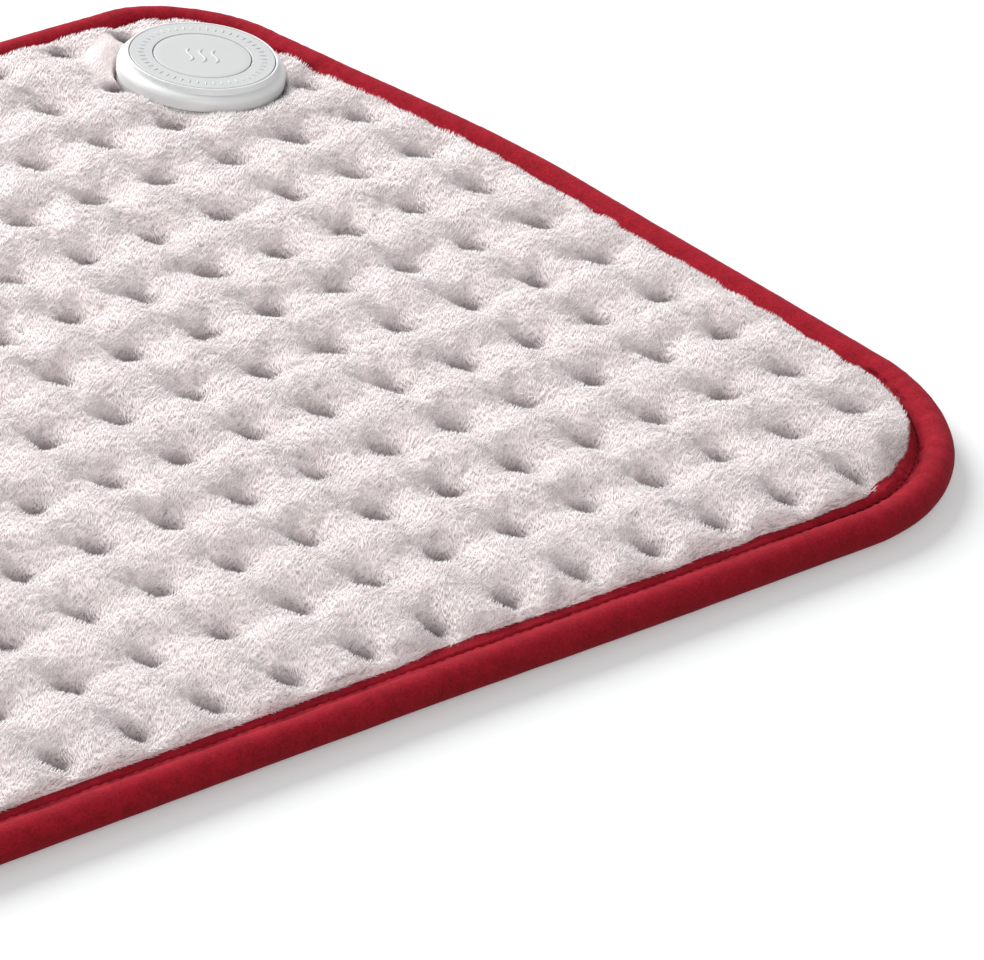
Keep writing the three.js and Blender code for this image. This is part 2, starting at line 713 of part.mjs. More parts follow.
// The opening in the base and in the shell that the inlet stands in
function inletWindow() {
  const width = INLET_WIDTH + 2 * FIT_GAP;
  const depth = UNIT_RADIUS + CUT_OVERRUN - inletRear;
  return block(
    width,
    depth,
    0,
    inletRear + depth / 2,
    inletBottom - FIT_GAP,
    inletTop + FIT_GAP,
  );
}

function makeBase() {
  const dish = turned([
    [0, 0],
    [baseRadius - BASE_CHAMFER, 0],
    [baseRadius, BASE_CHAMFER],
    [baseRadius, BASE_HEIGHT],
    [baseInnerRadius, BASE_HEIGHT],
    [baseInnerRadius, BASE_FLOOR],
    [0, BASE_FLOOR],
  ]);
  const root = BASE_FLOOR / 2;
  const bosses = clampPlaces.map(([x, y]) => rod(BOSS_RADIUS, x, y, root, postTop));
  const posts = boardPlaces.map(([x, y]) => rod(POST_RADIUS, x, y, root, postTop));
  const high = postTop + CUT_OVERRUN;
  const boreTool = (radius, bottom) => ([x, y]) => rod(radius, x, y, bottom, high);
  const cutters = [
    inletWindow(),
    ...clampPlaces.map(boreTool(CLAMP_SCREW_RADIUS + FIT_GAP, -CUT_OVERRUN)),
    ...boardPlaces.map(boreTool(BOARD_SCREW_RADIUS + FIT_GAP, BASE_FLOOR)),
    ...leadPlaces.map(boreTool(boreRadius, -CUT_OVERRUN)),
  ];
  return cutAll(joinAll([dish, ...bosses, ...posts]), cutters);
}

// The shell's outside: an upright side, a rounded rim, and a hollow step up to the flat face
function makeShell() {
  const rimZ = UNIT_HEIGHT - SHELL_STEP;
  const rimRadius = UNIT_RADIUS - SHELL_RIM_ROUND;
  const landRadius = pocketRadius + SHELL_LAND;
  const innerRadius = UNIT_RADIUS - SHELL_WALL;
  const tongueOuter = baseInnerRadius - FIT_GAP;
  const tongueInner = tongueOuter - TONGUE_WALL;
  const rim = Array.from({ length: EDGE_STEPS + 1 }, (_, step) => {
    const [outward, rise] = onCircle(SHELL_RIM_ROUND, (90 * step) / EDGE_STEPS);
    return [rimRadius + outward, rimZ - SHELL_RIM_ROUND + rise];
  });
  const hollow = new THREE.QuadraticBezierCurve(
    new THREE.Vector2(rimRadius, rimZ),
    new THREE.Vector2(landRadius, rimZ),
    new THREE.Vector2(landRadius, UNIT_HEIGHT),
  );
  const step = hollow.getPoints(EDGE_STEPS).slice(1).map((point) => point.toArray());
  const shell = turned([
    [UNIT_RADIUS, seamZ],
    ...rim,
    ...step,
    [pocketRadius, UNIT_HEIGHT],
    [pocketRadius, ledgeTop],
    [ledgeRadius, ledgeTop],
    [ledgeRadius, ledgeBottom],
    [innerRadius, ledgeBottom],
    [innerRadius, seamZ + TONGUE_DEPTH],
    [tongueInner, seamZ + TONGUE_DEPTH],
    [tongueInner, seamZ - TONGUE_DEPTH],
    [tongueOuter, seamZ - TONGUE_DEPTH],
    [tongueOuter, seamZ],
  ]);
  return shell.subtract(inletWindow());
}

function makeFaceRing() {
  const holeRadius = BUTTON_RADIUS + FIT_GAP;
  const collarOuter = ledgeRadius - FIT_GAP;
  const collarInner = collarOuter - COLLAR_WALL;
  return turned([
    [collarInner, faceBottom - COLLAR_DEPTH],
    [collarOuter, faceBottom - COLLAR_DEPTH],
    [collarOuter, faceBottom],
    [FACE_RADIUS, faceBottom],
    [FACE_RADIUS, UNIT_HEIGHT],
    [holeRadius, UNIT_HEIGHT],
    [holeRadius, faceBottom],
    [collarInner, faceBottom],
  ]);
}

function makeButton() {
  const skirtInner = BUTTON_RADIUS - BUTTON_SKIRT;
  const stemEnd = plungerTop + FIT_GAP;
  return turned([
    [0, stemEnd],
    [STEM_RADIUS, stemEnd],
    [STEM_RADIUS, buttonCeiling],
    [skirtInner, buttonCeiling],
    [skirtInner, flangeBottom],
    [BUTTON_RADIUS + FLANGE_WIDTH, flangeBottom],
    [BUTTON_RADIUS + FLANGE_WIDTH, flangeTop],
    [BUTTON_RADIUS, flangeTop],
    [BUTTON_RADIUS, UNIT_HEIGHT - BUTTON_EDGE],
    [BUTTON_RADIUS - BUTTON_EDGE, UNIT_HEIGHT],
    [0, UNIT_HEIGHT],
  ]);
}

// The coil's end turns lie nearly flat on the board and under the button
function makeSpring() {
  const low = partsBottom + SPRING_WIRE / 2;
  const high = buttonCeiling - FIT_GAP - SPRING_WIRE / 2;
  const count = SPRING_TURNS * SPRING_STEPS;
  const points = Array.from({ length: count + 1 }, (_, step) => {
    const angle = (2 * Math.PI * step) / SPRING_STEPS;
    const height = THREE.MathUtils.lerp(low, high, smooth(step / count));
    const middleRadius = SPRING_RADIUS - SPRING_WIRE / 2;
    return new THREE.Vector3(
      middleRadius * Math.cos(angle),
      middleRadius * Math.sin(angle),
      height,
    );
  });
  return tube(points, SPRING_WIRE / 2, SPRING_SIDES);
}

function makeBoard() {
  const disc = rod(BOARD_RADIUS, 0, 0, boardBottom, boardTop, ROUND_STEPS);
  const low = boardBottom - CUT_OVERRUN;
  const high = boardTop + CUT_OVERRUN;
  const flatY = inletRear - FIT_GAP;
  const room = BOARD_RADIUS + CUT_OVERRUN;
  return cutAll(disc, [
    block(2 * room, room, 0, flatY + room / 2, low, high),
    ...boardPlaces.map(([x, y]) => rod(BOARD_SCREW_RADIUS + FIT_GAP, x, y, low, high)),
    ...leadPlaces.map(([x, y]) => rod(boreRadius, x, y, low, high)),
  ]);
}

function makeTerminal([x, y]) {
  const body = block(TERMINAL_SIZE, TERMINAL_SIZE, x, y, partsBottom, partsBottom + TERMINAL_HEIGHT);
  const depth = LEAD_SEAT + FIT_GAP;
  return body.subtract(rod(boreRadius, x, y, partsBottom - CUT_OVERRUN, partsBottom + depth));
}

function makeKeySwitch() {
  const body = block(KEY_SIZE, KEY_SIZE, 0, 0, partsBottom, keyTop);
  const wellFloor = plungerBottom - BUTTON_TRAVEL - FIT_GAP;
  return body.subtract(rod(PLUNGER_RADIUS + FIT_GAP, 0, 0, wellFloor, keyTop + CUT_OVERRUN));
}

function makeFuse() {
  const geometry = new THREE.CylinderGeometry(
    FUSE_RADIUS,
    FUSE_RADIUS,
    FUSE_LENGTH,
    SMALL_ROUND_STEPS,
  );
  return solidOf(geometry.translate(FUSE_X, FUSE_Y, partsBottom + FUSE_RADIUS));
}

const pinPlaces = Array.from(
  { length: PIN_COUNT },
  (_, pin) => (pin - (PIN_COUNT - 1) / 2) * PIN_SPACING,
);

function makeInlet() {
  const middleY = (inletFront + inletRear) / 2;
  const body = block(INLET_WIDTH, INLET_DEPTH, 0, middleY, inletBottom, inletTop);
  const hollowDepth = INLET_DEPTH - INLET_REAR_WALL + CUT_OVERRUN;
  const hollow = block(
    INLET_WIDTH - 2 * INLET_WALL,
    hollowDepth,
    0,
    inletFront + CUT_OVERRUN - hollowDepth / 2,
    inletBottom + INLET_WALL,
    inletTop - INLET_WALL,
  );
  const slots = pinPlaces.map((x) =>
    block(
      PIN_WIDTH + 2 * FIT_GAP,
      INLET_DEPTH,
      x,
      inletRear,
      pinZ - PIN_THICKNESS / 2 - FIT_GAP,
      pinZ + PIN_THICKNESS / 2 + FIT_GAP,
    ),
  );
  return cutAll(body, [hollow, ...slots]);
}

// A contact that runs back from the inlet and turns down to the board
function makePin(x) {
  const low = pinZ - PIN_THICKNESS / 2;
  const high = pinZ + PIN_THICKNESS / 2;
  const front = inletRear + INLET_REAR_WALL + PIN_FORE_LENGTH;
  const back = inletRear - PIN_AFT_LENGTH;
  const blade = block(PIN_WIDTH, front - back, x, (front + back) / 2, low, high);
  const legY = back + PIN_THICKNESS / 2;
  return blade.add(block(PIN_WIDTH, PIN_THICKNESS, x, legY, partsBottom, high));
}

// The plush with its seat for the unit, the hole under it and the flattened patch by the inlet
function makeTopCover() {
  const low = coverBottom - CUT_OVERRUN;
  const high = dimpleZ + PILE_RISE + CUT_OVERRUN;
  const margin = layer(layerInset, coverBottom, marginTop);
  const marginHole = layer(plushInset + FIT_GAP, low, high);
  const plushArea = makeQuilt().intersect(layer(plushInset, coverBottom, high));
  const cover = plushArea.add(margin.subtract(marginHole));
  const scoopDepth = inletFront + SCOOP_LENGTH;
  const scoopWidth = INLET_WIDTH + 2 * SCOOP_MARGIN;
  const scoopFloor = unitZ + inletBottom - FIT_GAP;
  return cutAll(cover, [
    rod(seatRadius / Math.cos(Math.PI / SEAT_STEPS), unitX, unitY, dimpleZ, high, SEAT_STEPS),
    rod(CLAMP_RADIUS - CLAMPED_WIDTH, unitX, unitY, low, high, SEAT_STEPS),
    block(scoopWidth, scoopDepth, unitX, unitY + scoopDepth / 2, scoopFloor, high),
  ]);
}

function makeWadding(corners, cutouts) {
  const low = waddingBottom - CUT_OVERRUN;
  const grooveTop = wireZ + boreRadius;
  return cutAll(layer(layerInset, waddingBottom, waddingTop), [
    makeGroove(corners),
    rod(CLAMP_RADIUS + FIT_GAP, unitX, unitY, low, waddingTop + CUT_OVERRUN, ROUND_STEPS),
    ...cutouts.map(({ x, y }) =>
      block(CUTOUT_LENGTH + 2 * FIT_GAP, CUTOUT_WIDTH + 2 * FIT_GAP, x, y, low, grooveTop),
    ),
  ]);
}

function makeCutout({ x, y }) {
  const bottom = wireZ - CUTOUT_HEIGHT / 2;
  return block(CUTOUT_LENGTH, CUTOUT_WIDTH, x, y, bottom, bottom + CUTOUT_HEIGHT);
}

const { corners, runY } = wireCorners();
const cutoutX = QUILT_SHIFT_X + QUILT_PITCH / 2;
const cutouts = CUTOUT_RUNS.map((run) => ({ x: cutoutX, y: runY(run) }));

const pad = new THREE.Group();
pad.add(
  piece("back_cover", layer(hemInset + FIT_GAP, 0, BACK_THICKNESS), backCloth),
  piece("wire_carrier", layer(layerInset, carrierBottom, carrierTop), greyFelt),
  piece("wadding", makeWadding(corners, cutouts), paleFibre),
  piece("top_cover", makeTopCover(), plush),
  piece("edge_core", makeEdgeCore(), paleFoam),
  piece("edge_tape", makeEdgeTape(), redTape),
);
for (const [index, wire] of makeWires(corners, cutouts).entries()) {
  pad.add(piece(`heating_wire_${index + 1}`, wire, wireSilicone));
}
for (const [index, cutout] of cutouts.entries()) {
  pad.add(piece(`thermal_cutout_${index + 1}`, makeCutout(cutout), steel));
}
pad.add(piece("clamp_plate", makeClampPlate(), greyPlastic));

// The unit's pieces are drawn round its own axis, up from its underside
const unit = new THREE.Group();
unit.position.set(unitX, unitY, unitZ);
unit.add(
  piece("housing_base", makeBase(), whitePlastic),
  piece("housing_shell", makeShell(), whitePlastic),
  piece("face_ring", makeFaceRing(), whitePlastic),
  piece("press_button", makeButton(), whitePlastic),
  piece("return_spring", makeSpring(), steel),
  piece("circuit_board", makeBoard(), boardGreen),
  piece("key_switch", makeKeySwitch(), blackPlastic),
  piece(
    "switch_plunger",
    rod(PLUNGER_RADIUS, 0, 0, plungerBottom, plungerTop),
    greyPlastic,
  ),
  piece(
    "control_chip",
    block(CHIP_SIZE, CHIP_SIZE, 0, CHIP_Y, partsBottom, partsBottom + CHIP_HEIGHT),
    blackPlastic,
  ),
  piece(
    "triac",
    block(TRIAC_LENGTH, TRIAC_WIDTH, TRIAC_X, TRIAC_Y, partsBottom, partsBottom + TRIAC_HEIGHT),
    blackPlastic,
  ),
  piece(
    "capacitor",
    block(
      CAPACITOR_LENGTH,
      CAPACITOR_WIDTH,
      CAPACITOR_X,
      CAPACITOR_Y,
      partsBottom,
      partsBottom + CAPACITOR_HEIGHT,
    ),
    greyPlastic,
  ),
  piece("fuse", makeFuse(), steel),
  piece("inlet_socket", makeInlet(), blackPlastic),
);
for (const [index, place] of clampPlaces.entries()) {
  unit.add(piece(`clamp_screw_${index + 1}`, makeClampScrew(place), steel));
}
for (const [index, place] of boardPlaces.entries()) {
  unit.add(piece(`board_screw_${index + 1}`, makeBoardScrew(place), steel));
}
for (const [index, place] of leadPlaces.entries()) {
  unit.add(piece(`lead_terminal_${index + 1}`, makeTerminal(place), brass));
}
for (const [index, x] of pinPlaces.entries()) {
  unit.add(piece(`inlet_pin_${index + 1}`, makePin(x), brass));
}

const heatingPad = new THREE.Group();
heatingPad.add(pad, unit);

export default heatingPad;
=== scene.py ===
"""Looks of a quilted heating pad with a round control unit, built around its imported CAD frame.

The pad lies flat with its long side along X. The plush top is drawn down in a square grid of
dimples, a red rolled edge closes the layers, and the control unit stands on the plush in the
+X +Y corner. The modelling code works in millimetres and a finished mesh is in metres.
"""

import math
from contextlib import contextmanager
from types import SimpleNamespace

import bmesh
import bpy
import numpy as np
from bpy.props import FloatProperty, FloatVectorProperty, IntProperty, PointerProperty
from mathutils import Matrix, Vector, noise
from mathutils.geometry import delaunay_2d_cdt


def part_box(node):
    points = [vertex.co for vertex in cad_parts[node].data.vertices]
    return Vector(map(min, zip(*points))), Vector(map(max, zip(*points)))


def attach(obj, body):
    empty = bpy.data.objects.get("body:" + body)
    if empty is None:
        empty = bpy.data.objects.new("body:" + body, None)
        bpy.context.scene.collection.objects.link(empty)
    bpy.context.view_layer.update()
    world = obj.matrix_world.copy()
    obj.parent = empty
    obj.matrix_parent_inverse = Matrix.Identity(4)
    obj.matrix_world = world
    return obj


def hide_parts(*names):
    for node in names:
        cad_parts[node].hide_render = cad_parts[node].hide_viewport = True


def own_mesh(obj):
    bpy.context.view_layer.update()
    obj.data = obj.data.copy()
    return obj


bl_info = {
    "name": "Heating pad with controller",
    "version": (1, 0, 0),
    "blender": (4, 5, 0),
    "location": "3D View > Sidebar > Heating Pad",
    "description": "Models a quilted heating pad with a round control unit around its frame",
    "category": "Add Mesh",
}

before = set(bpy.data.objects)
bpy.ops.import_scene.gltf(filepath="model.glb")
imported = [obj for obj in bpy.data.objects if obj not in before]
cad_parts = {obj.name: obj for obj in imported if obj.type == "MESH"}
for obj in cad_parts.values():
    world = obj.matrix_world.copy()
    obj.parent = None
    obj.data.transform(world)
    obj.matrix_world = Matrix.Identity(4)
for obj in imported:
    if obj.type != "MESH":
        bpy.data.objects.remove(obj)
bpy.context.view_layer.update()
MM = 0.001


def node_box(node):
    """A CAD node's lowest and highest corners, in millimetres."""
    low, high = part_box(node)
    return np.array(low) / MM, np.array(high) / MM


# Places and sizes that the frame gives
TAPE_HIGH = node_box("edge_tape")[1]
BACK_HIGH = node_box("back_cover")[1]
COVER_LOW = node_box("top_cover")[0]
BASE_LOW = node_box("housing_base")[0]
SHELL_LOW, SHELL_HIGH = node_box("housing_shell")
BUTTON_LOW, BUTTON_HIGH = node_box("press_button")
HALF_LENGTH = 220.0
HALF_WIDTH = 165.0
ROLL_RADIUS = TAPE_HIGH[2] / 2
UNIT_X = (BUTTON_LOW[0] + BUTTON_HIGH[0]) / 2
UNIT_Y = (BUTTON_LOW[1] + BUTTON_HIGH[1]) / 2
UNIT_Z = BASE_LOW[2]
UNIT_FOOT = np.array([UNIT_X, UNIT_Y, UNIT_Z])
UNIT_TOP = BUTTON_HIGH[2] - UNIT_Z
UNIT_RADIUS = (SHELL_HIGH[0] - SHELL_LOW[0]) / 2

# The camera of the photograph
CAMERA_PLACE = (-1.1898, -1.3333, 0.9757)
CAMERA_RIGHT = (0.7341, -0.6704, 0.1075)
CAMERA_UP = (0.2549, 0.4189, 0.8715)
CAMERA_BACK = (-0.6294, -0.6124, 0.4784)
CAMERA_FOCAL_PIXELS = 7998.4
CAMERA_NEAREST = 0.05
CAMERA_FARTHEST = 30.0
PHOTO_WIDTH_PIXELS = 984

# Each lamp's way from the pad in the camera's right, up and back, its distance and size in
# metres, and its power in watts
LAMPS = {
    "key_lamp": ((-0.68, 1.0, -0.32), 2.8, 2.3, 134.0),
    "fill_lamp": ((0.2, 0.0, 1.0), 2.6, 1.6, 34.0),
}
FLOOR_HALF_WIDTH = 6.0
FLOOR_COLOUR = (0.735, 0.742, 0.744, 1)
FLOOR_GLOW = 0.19  # light that the camera alone sees in the floor
FILL_COLOUR = (0.98, 0.99, 1, 1)
FILL_STRENGTH = 0.36


def length_of(name, default, description):
    """A length that a user may change, in metres."""
    return FloatProperty(name=name, description=description, default=default, unit="LENGTH")


def colour_of(name, default, description):
    """A colour that a user may change, as linear values."""
    return FloatVectorProperty(
        name=name, description=description, default=default, subtype="COLOR", min=0, max=1
    )


class HeatPadSizes(bpy.types.PropertyGroup):
    """Sizes of the pad's soft parts and of the marks on the control unit."""

    corner_radius: length_of("Corner radius", 0.067, "Radius of the three plain corners")
    unit_corner_radius: length_of(
        "Unit corner radius", 0.035, "Radius of the corner beside the control unit"
    )
    unit_corner_lean: length_of(
        "Unit corner lean", 0.0154, "How far the short side is drawn in at the unit's corner"
    )
    lean_fade: length_of(
        "Lean fade", 0.100, "Distance from the short side over which the lean dies out"
    )
    lean_reach: length_of(
        "Lean reach", 0.144, "Distance from the far side over which the lean dies out"
    )
    quilt_pitch: length_of("Quilt pitch", 0.024, "Distance between two dimples")
    quilt_shift_x: length_of(
        "Quilt shift X", -0.0036, "How far the grid of dimples sits off centre along the pad"
    )
    quilt_shift_y: length_of(
        "Quilt shift Y", 0.0015, "How far the grid of dimples sits off centre across the pad"
    )
    pile_rise: length_of("Pile rise", 0.0056, "Height of a crown over the dimple beside it")
    tuft_length: length_of("Tuft length", 0.0018, "Length of one tuft of pile")
    tuft_width: length_of("Tuft width", 0.00030, "Width of one tuft of pile at its root")
    seam_width: length_of("Seam width", 0.0008, "Width of the stitched groove beside the roll")
    hem_width: length_of("Hem width", 0.0023, "Width of the tape between the groove and the plush")
    stitch_length: length_of(
        "Stitch length", 0.0032, "Distance from one stitch of the seam to the next"
    )
    tick_count: IntProperty(
        name="Tick count", description="Number of raised ticks on the face ring", default=48, min=4
    )


class HeatPadColours(bpy.types.PropertyGroup):
    """Colours of the pad's finishes, as linear values."""

    plush: colour_of("Plush", (0.85, 0.752, 0.742), "Tips of the pale pile")
    # The plush root colour is painted shade between the locks and at the tufts' roots
    plush_root: colour_of(
        "Plush root", (0.735, 0.642, 0.637), "Shaded roots between the locks of pile"
    )
    tape: colour_of("Edge tape", (0.34, 0.008, 0.022), "Nap of the red edge")
    tape_shade: colour_of(
        "Edge tape shade", (0.185, 0.004, 0.009), "Deeper red of the tape where its nap lies away"
    )
    casing: colour_of("Casing", (0.72, 0.73, 0.73), "Satin white of the control unit")
    # Besides its matt finish, the face is set darker than the casing's white as painted shade,
    # because the top takes more light than the sides
    face: colour_of("Face", (0.50, 0.51, 0.51), "Matt white of the unit's face ring and button")


def sizes():
    """The sizes as plain numbers, lengths in millimetres."""
    group = bpy.context.scene.heat_pad_sizes
    found = {}
    for key, value in group.bl_rna.properties.items():
        if value.type == "FLOAT":
            found[key] = getattr(group, key) / MM
        if value.type == "INT":
            found[key] = getattr(group, key)
    return SimpleNamespace(**found)


def colours():
    """The colours as the user has set them."""
    return bpy.context.scene.heat_pad_colours


def smooth(share):
    """0 to 1 with soft ends."""
    t = np.clip(share, 0, 1)
    return t * t * (3 - 2 * t)


# Nodes


def fit(tree, node, values):
    """Sets a node's settings and inputs, by name or place, to numbers or other sockets."""
    for key, value in values.items():
        if isinstance(value, bpy.types.NodeSocket):
            tree.links.new(value, node.inputs[key])
        elif isinstance(key, int) or key in node.inputs:
            node.inputs[key].default_value = value
        else:
            setattr(node, key, value)
    return node


def add_node(tree, kind, values=None):
    """A new node with its settings and inputs."""
    return fit(tree, tree.nodes.new(kind), values or {})


def arithmetic(tree, operation, *terms):
    """The result of a math node, from numbers or sockets."""
    values = {"operation": operation, **dict(enumerate(terms))}
    return add_node(tree, "ShaderNodeMath", values).outputs["Value"]


def vectors(tree, operation, *terms):
    """The result of a vector math node, from vectors or sockets."""
    values = {"operation": operation, **dict(enumerate(terms))}
    return add_node(tree, "ShaderNodeVectorMath", values).outputs["Vector"]


def scaled(tree, vector, scale):
    """A vector times a number or a socket."""
    values = {"operation": "SCALE", 0: vector, "Scale": scale}
    return add_node(tree, "ShaderNodeVectorMath", values).outputs["Vector"]


def mapped(tree, place, scale=(1, 1, 1), turn=0.0):
    """A place scaled along its axes or turned about Z."""
    values = {"Scale": scale, "Rotation": (0, 0, turn), "Vector": place}
    return add_node(tree, "ShaderNodeMapping", values).outputs["Vector"]


def object_place(tree, scale=(1, 1, 1)):
    """Object coordinates, scaled along their axes."""
    source = tree.nodes.new("ShaderNodeTexCoord")
    return mapped(tree, source.outputs["Object"], scale)


def noise_of(tree, place, scale, detail=2.0, roughness=0.5, distortion=0.0):
    """The value of a noise at a place."""
    values = {"Scale": scale, "Detail": detail, "Roughness": roughness, "Distortion": distortion}
    return add_node(tree, "ShaderNodeTexNoise", {**values, "Vector": place}).outputs["Fac"]


def attribute_of(tree, name):
    """The value of one of the mesh's own attributes."""
    return add_node(tree, "ShaderNodeAttribute", {"attribute_name": name}).outputs["Fac"]


def blended_colours(tree, factor, low, high, start=0.3, end=0.7):
    """A colour that goes from low to high as the factor goes from start to end."""
    ramp = add_node(tree, "ShaderNodeValToRGB", {"Fac": factor})
    stops = ramp.color_ramp.elements
    stops[0].position = start
    stops[0].color = (*low, 1)
    stops[1].position = end
    stops[1].color = (*high, 1)
    return ramp.outputs["Color"]


def multiplied(tree, first, second):
    """Two colours multiplied."""
    mix = add_node(
        tree,
        "ShaderNodeMix",
        {"data_type": "RGBA", "blend_type": "MULTIPLY", "Factor": 1.0, "A": first, "B": second},
    )
    return next(socket for socket in mix.outputs if socket.type == "RGBA" and socket.enabled)


def bumped(tree, heights):
    """A normal from (height socket, strength, distance in metres) layers, coarse to fine."""
    coarser = {}
    for height, strength, distance in heights:
        values = {"Strength": strength, "Distance": distance, "Height": height, **coarser}
        coarser = {"Normal": add_node(tree, "ShaderNodeBump", values).outputs["Normal"]}
    return coarser["Normal"]


def shaded(colour, share):
    """A colour at a share of its brightness."""
    return tuple(channel * share for channel in colour)


# Materials

COMB_TURN = math.radians(32.5)  # from the X axis to the way in which the pile is combed
COMB_WAVE = 0.0036  # how far a slow noise shifts the locks, in metres
LOCK_STRETCH = (0.30, 1.0, 0.45)
STRAND_STRETCH = (0.22, 1.0, 0.5)
# painted shade in the stitched pits of the pile
PIT_SHADE = (0.19, 0.165, 0.185)
CLUMP_TINT = (0.93, 0.92, 0.93)
# painted shade on the roll's outer, lower side, darker and browner
ROLL_UNDERSIDE_SHADE = (0.60, 0.45, 0.40)
WHITE = (1, 1, 1)


def start_material(name):
    """A new material with its node tree and its shader."""
    material = bpy.data.materials.new(name)
    material.use_nodes = True
    tree = material.node_tree
    return material, tree, tree.nodes["Principled BSDF"]


def with_painted_pit_shade(tree, colour):
    """A colour with painted shade where the mesh says that it lies in a stitched pit."""
    dark = blended_colours(tree, attribute_of(tree, "pit"), WHITE, PIT_SHADE, 0.08, 0.82)
    return multiplied(tree, colour, dark)


def plush_material():
    """Pale pile in fine locks, combed one way, with painted shade between the locks and in the
    pits.
    """
    material, tree, shader = start_material("plush_pile")
    # Waves in the combing come from a slow noise that shifts the place of the fine one
    place = object_place(tree)
    waves = add_node(tree, "ShaderNodeTexNoise", {"Scale": 55.0, "Detail": 1.0, "Vector": place})
    moved = vectors(tree, "ADD", place, scaled(tree, waves.outputs["Color"], COMB_WAVE))
    turned = mapped(tree, moved, turn=-COMB_TURN)
    lock_height = noise_of(tree, mapped(tree, turned, LOCK_STRETCH), 2000.0, 2.0, 0.55, 0.2)
    strand_height = noise_of(tree, mapped(tree, turned, STRAND_STRETCH), 4300.0, 2.0, 0.6, 0.2)
    clumps = noise_of(tree, place, 130.0, 2.0)
    pale, root = colours().plush, colours().plush_root
    # Painted shade: the root colour fills the low parts of the locks, where shade falls between
    # them
    colour = blended_colours(tree, lock_height, root, pale, 0.30, 0.54)
    tint = blended_colours(tree, clumps, CLUMP_TINT, WHITE, 0.35, 0.65)
    finish = {
        "Base Color": with_painted_pit_shade(tree, multiplied(tree, colour, tint)),
        "Normal": bumped(tree, [(lock_height, 0.7, 0.0007), (strand_height, 0.5, 0.00025)]),
        "Roughness": 0.92,
        "Specular IOR Level": 0.2,
        "Sheen Weight": 0.25,
        "Sheen Roughness": 0.45,
        "Sheen Tint": (1.0, 0.96, 0.95, 1),
    }
    fit(tree, shader, finish)
    return material


def tuft_material():
    """Single tufts of the pile, with painted shade at their roots and in the pits, and light
    passing through them.
    """
    material, tree, shader = start_material("plush_tufts")
    tip = attribute_of(tree, "tip")
    # Painted shade: each tuft darkens from its tip down to its root
    colour = blended_colours(tree, tip, colours().plush_root, colours().plush, 0.0, 0.7)
    finish = {
        "Base Color": with_painted_pit_shade(tree, colour),
        "Roughness": 0.9,
        "Specular IOR Level": 0.1,
        "Subsurface Weight": 1.0,
        "Subsurface Radius": (1.0, 0.9, 0.85),
        "Subsurface Scale": 0.0006,
    }
    fit(tree, shader, finish)
    return material


def tape_material():
    """Red microfibre with a short nap that lies unevenly, and painted shade on the roll's outer,
    lower side.
    """
    material, tree, shader = start_material("red_microfibre")
    place = object_place(tree)
    patches = noise_of(tree, place, 210.0, 3.0, 0.6)
    nap = noise_of(tree, place, 1500.0, 3.0, 0.65)
    fibres = noise_of(tree, place, 4200.0, 2.0, 0.6)
    slow = arithmetic(tree, "MULTIPLY", patches, 0.4)
    mixed = arithmetic(tree, "MULTIPLY_ADD", nap, 0.6, slow)
    colour = blended_colours(tree, mixed, colours().tape_shade, colours().tape, 0.36, 0.62)
    # Painted shade: the roll darkens and browns where it faces outward and down
    side = attribute_of(tree, "side")
    tone = blended_colours(tree, side, WHITE, ROLL_UNDERSIDE_SHADE, 0.0, 1.0)
    heights = [(patches, 0.3, 0.0006), (nap, 0.45, 0.0003), (fibres, 0.4, 0.00012)]
    finish = {
        "Base Color": multiplied(tree, colour, tone),
        "Normal": bumped(tree, heights),
        "Roughness": 0.95,
        "Specular IOR Level": 0.15,
        "Sheen Weight": 0.12,
        "Sheen Roughness": 0.5,
        "Sheen Tint": (1.0, 0.1, 0.15, 1),
    }
    fit(tree, shader, finish)
    return material


def thread_material():
    """Twisted red sewing thread."""
    material, tree, shader = start_material("red_thread")
    twist = noise_of(tree, object_place(tree), 3500.0, 1.0)
    red = colours().tape_shade
    finish = {
        "Base Color": blended_colours(tree, twist, shaded(red, 0.30), shaded(red, 0.60)),
        "Normal": bumped(tree, [(twist, 0.5, 0.0001)]),
        "Roughness": 0.95,
        "Specular IOR Level": 0.1,
    }
    fit(tree, shader, finish)
    return material


def cloth_material(name, dark, pale, weave_pitch):
    """A plain woven or felted cloth: two crossed threads and a little fuzz."""
    material, tree, shader = start_material(name)
    place = object_place(tree)
    bands = {"wave_type": "BANDS", "Scale": 1 / weave_pitch / 20, "Distortion": 1.2}
    threads = []
    for direction in ("X", "Y"):
        values = {**bands, "bands_direction": direction, "Detail": 1.0, "Vector": place}
        threads.append(add_node(tree, "ShaderNodeTexWave", values).outputs["Fac"])
    weave = arithmetic(tree, "MULTIPLY", *threads)
    fuzz = noise_of(tree, place, 900.0, 3.0, 0.6)
    finish = {
        "Base Color": blended_colours(tree, fuzz, dark, pale),
        "Normal": bumped(tree, [(fuzz, 0.3, 0.0004), (weave, 0.5, 0.0002)]),
        "Roughness": 0.95,
        "Specular IOR Level": 0.2,
    }
    fit(tree, shader, finish)
    return material


def moulded_material(name, colour, roughness):
    """Moulded plastic: an even colour with faint clouding and a fine moulded grain."""
    material, tree, shader = start_material(name)
    place = object_place(tree)
    cloud = noise_of(tree, place, 60.0, 2.0)
    grains = noise_of(tree, place, 3800.0, 2.0)
    finish = {
        "Base Color": blended_colours(tree, cloud, shaded(colour, 0.965), colour),
        "Normal": bumped(tree, [(grains, 0.2, 0.00003)]),
        "Roughness": roughness,
    }
    fit(tree, shader, finish)
    return material


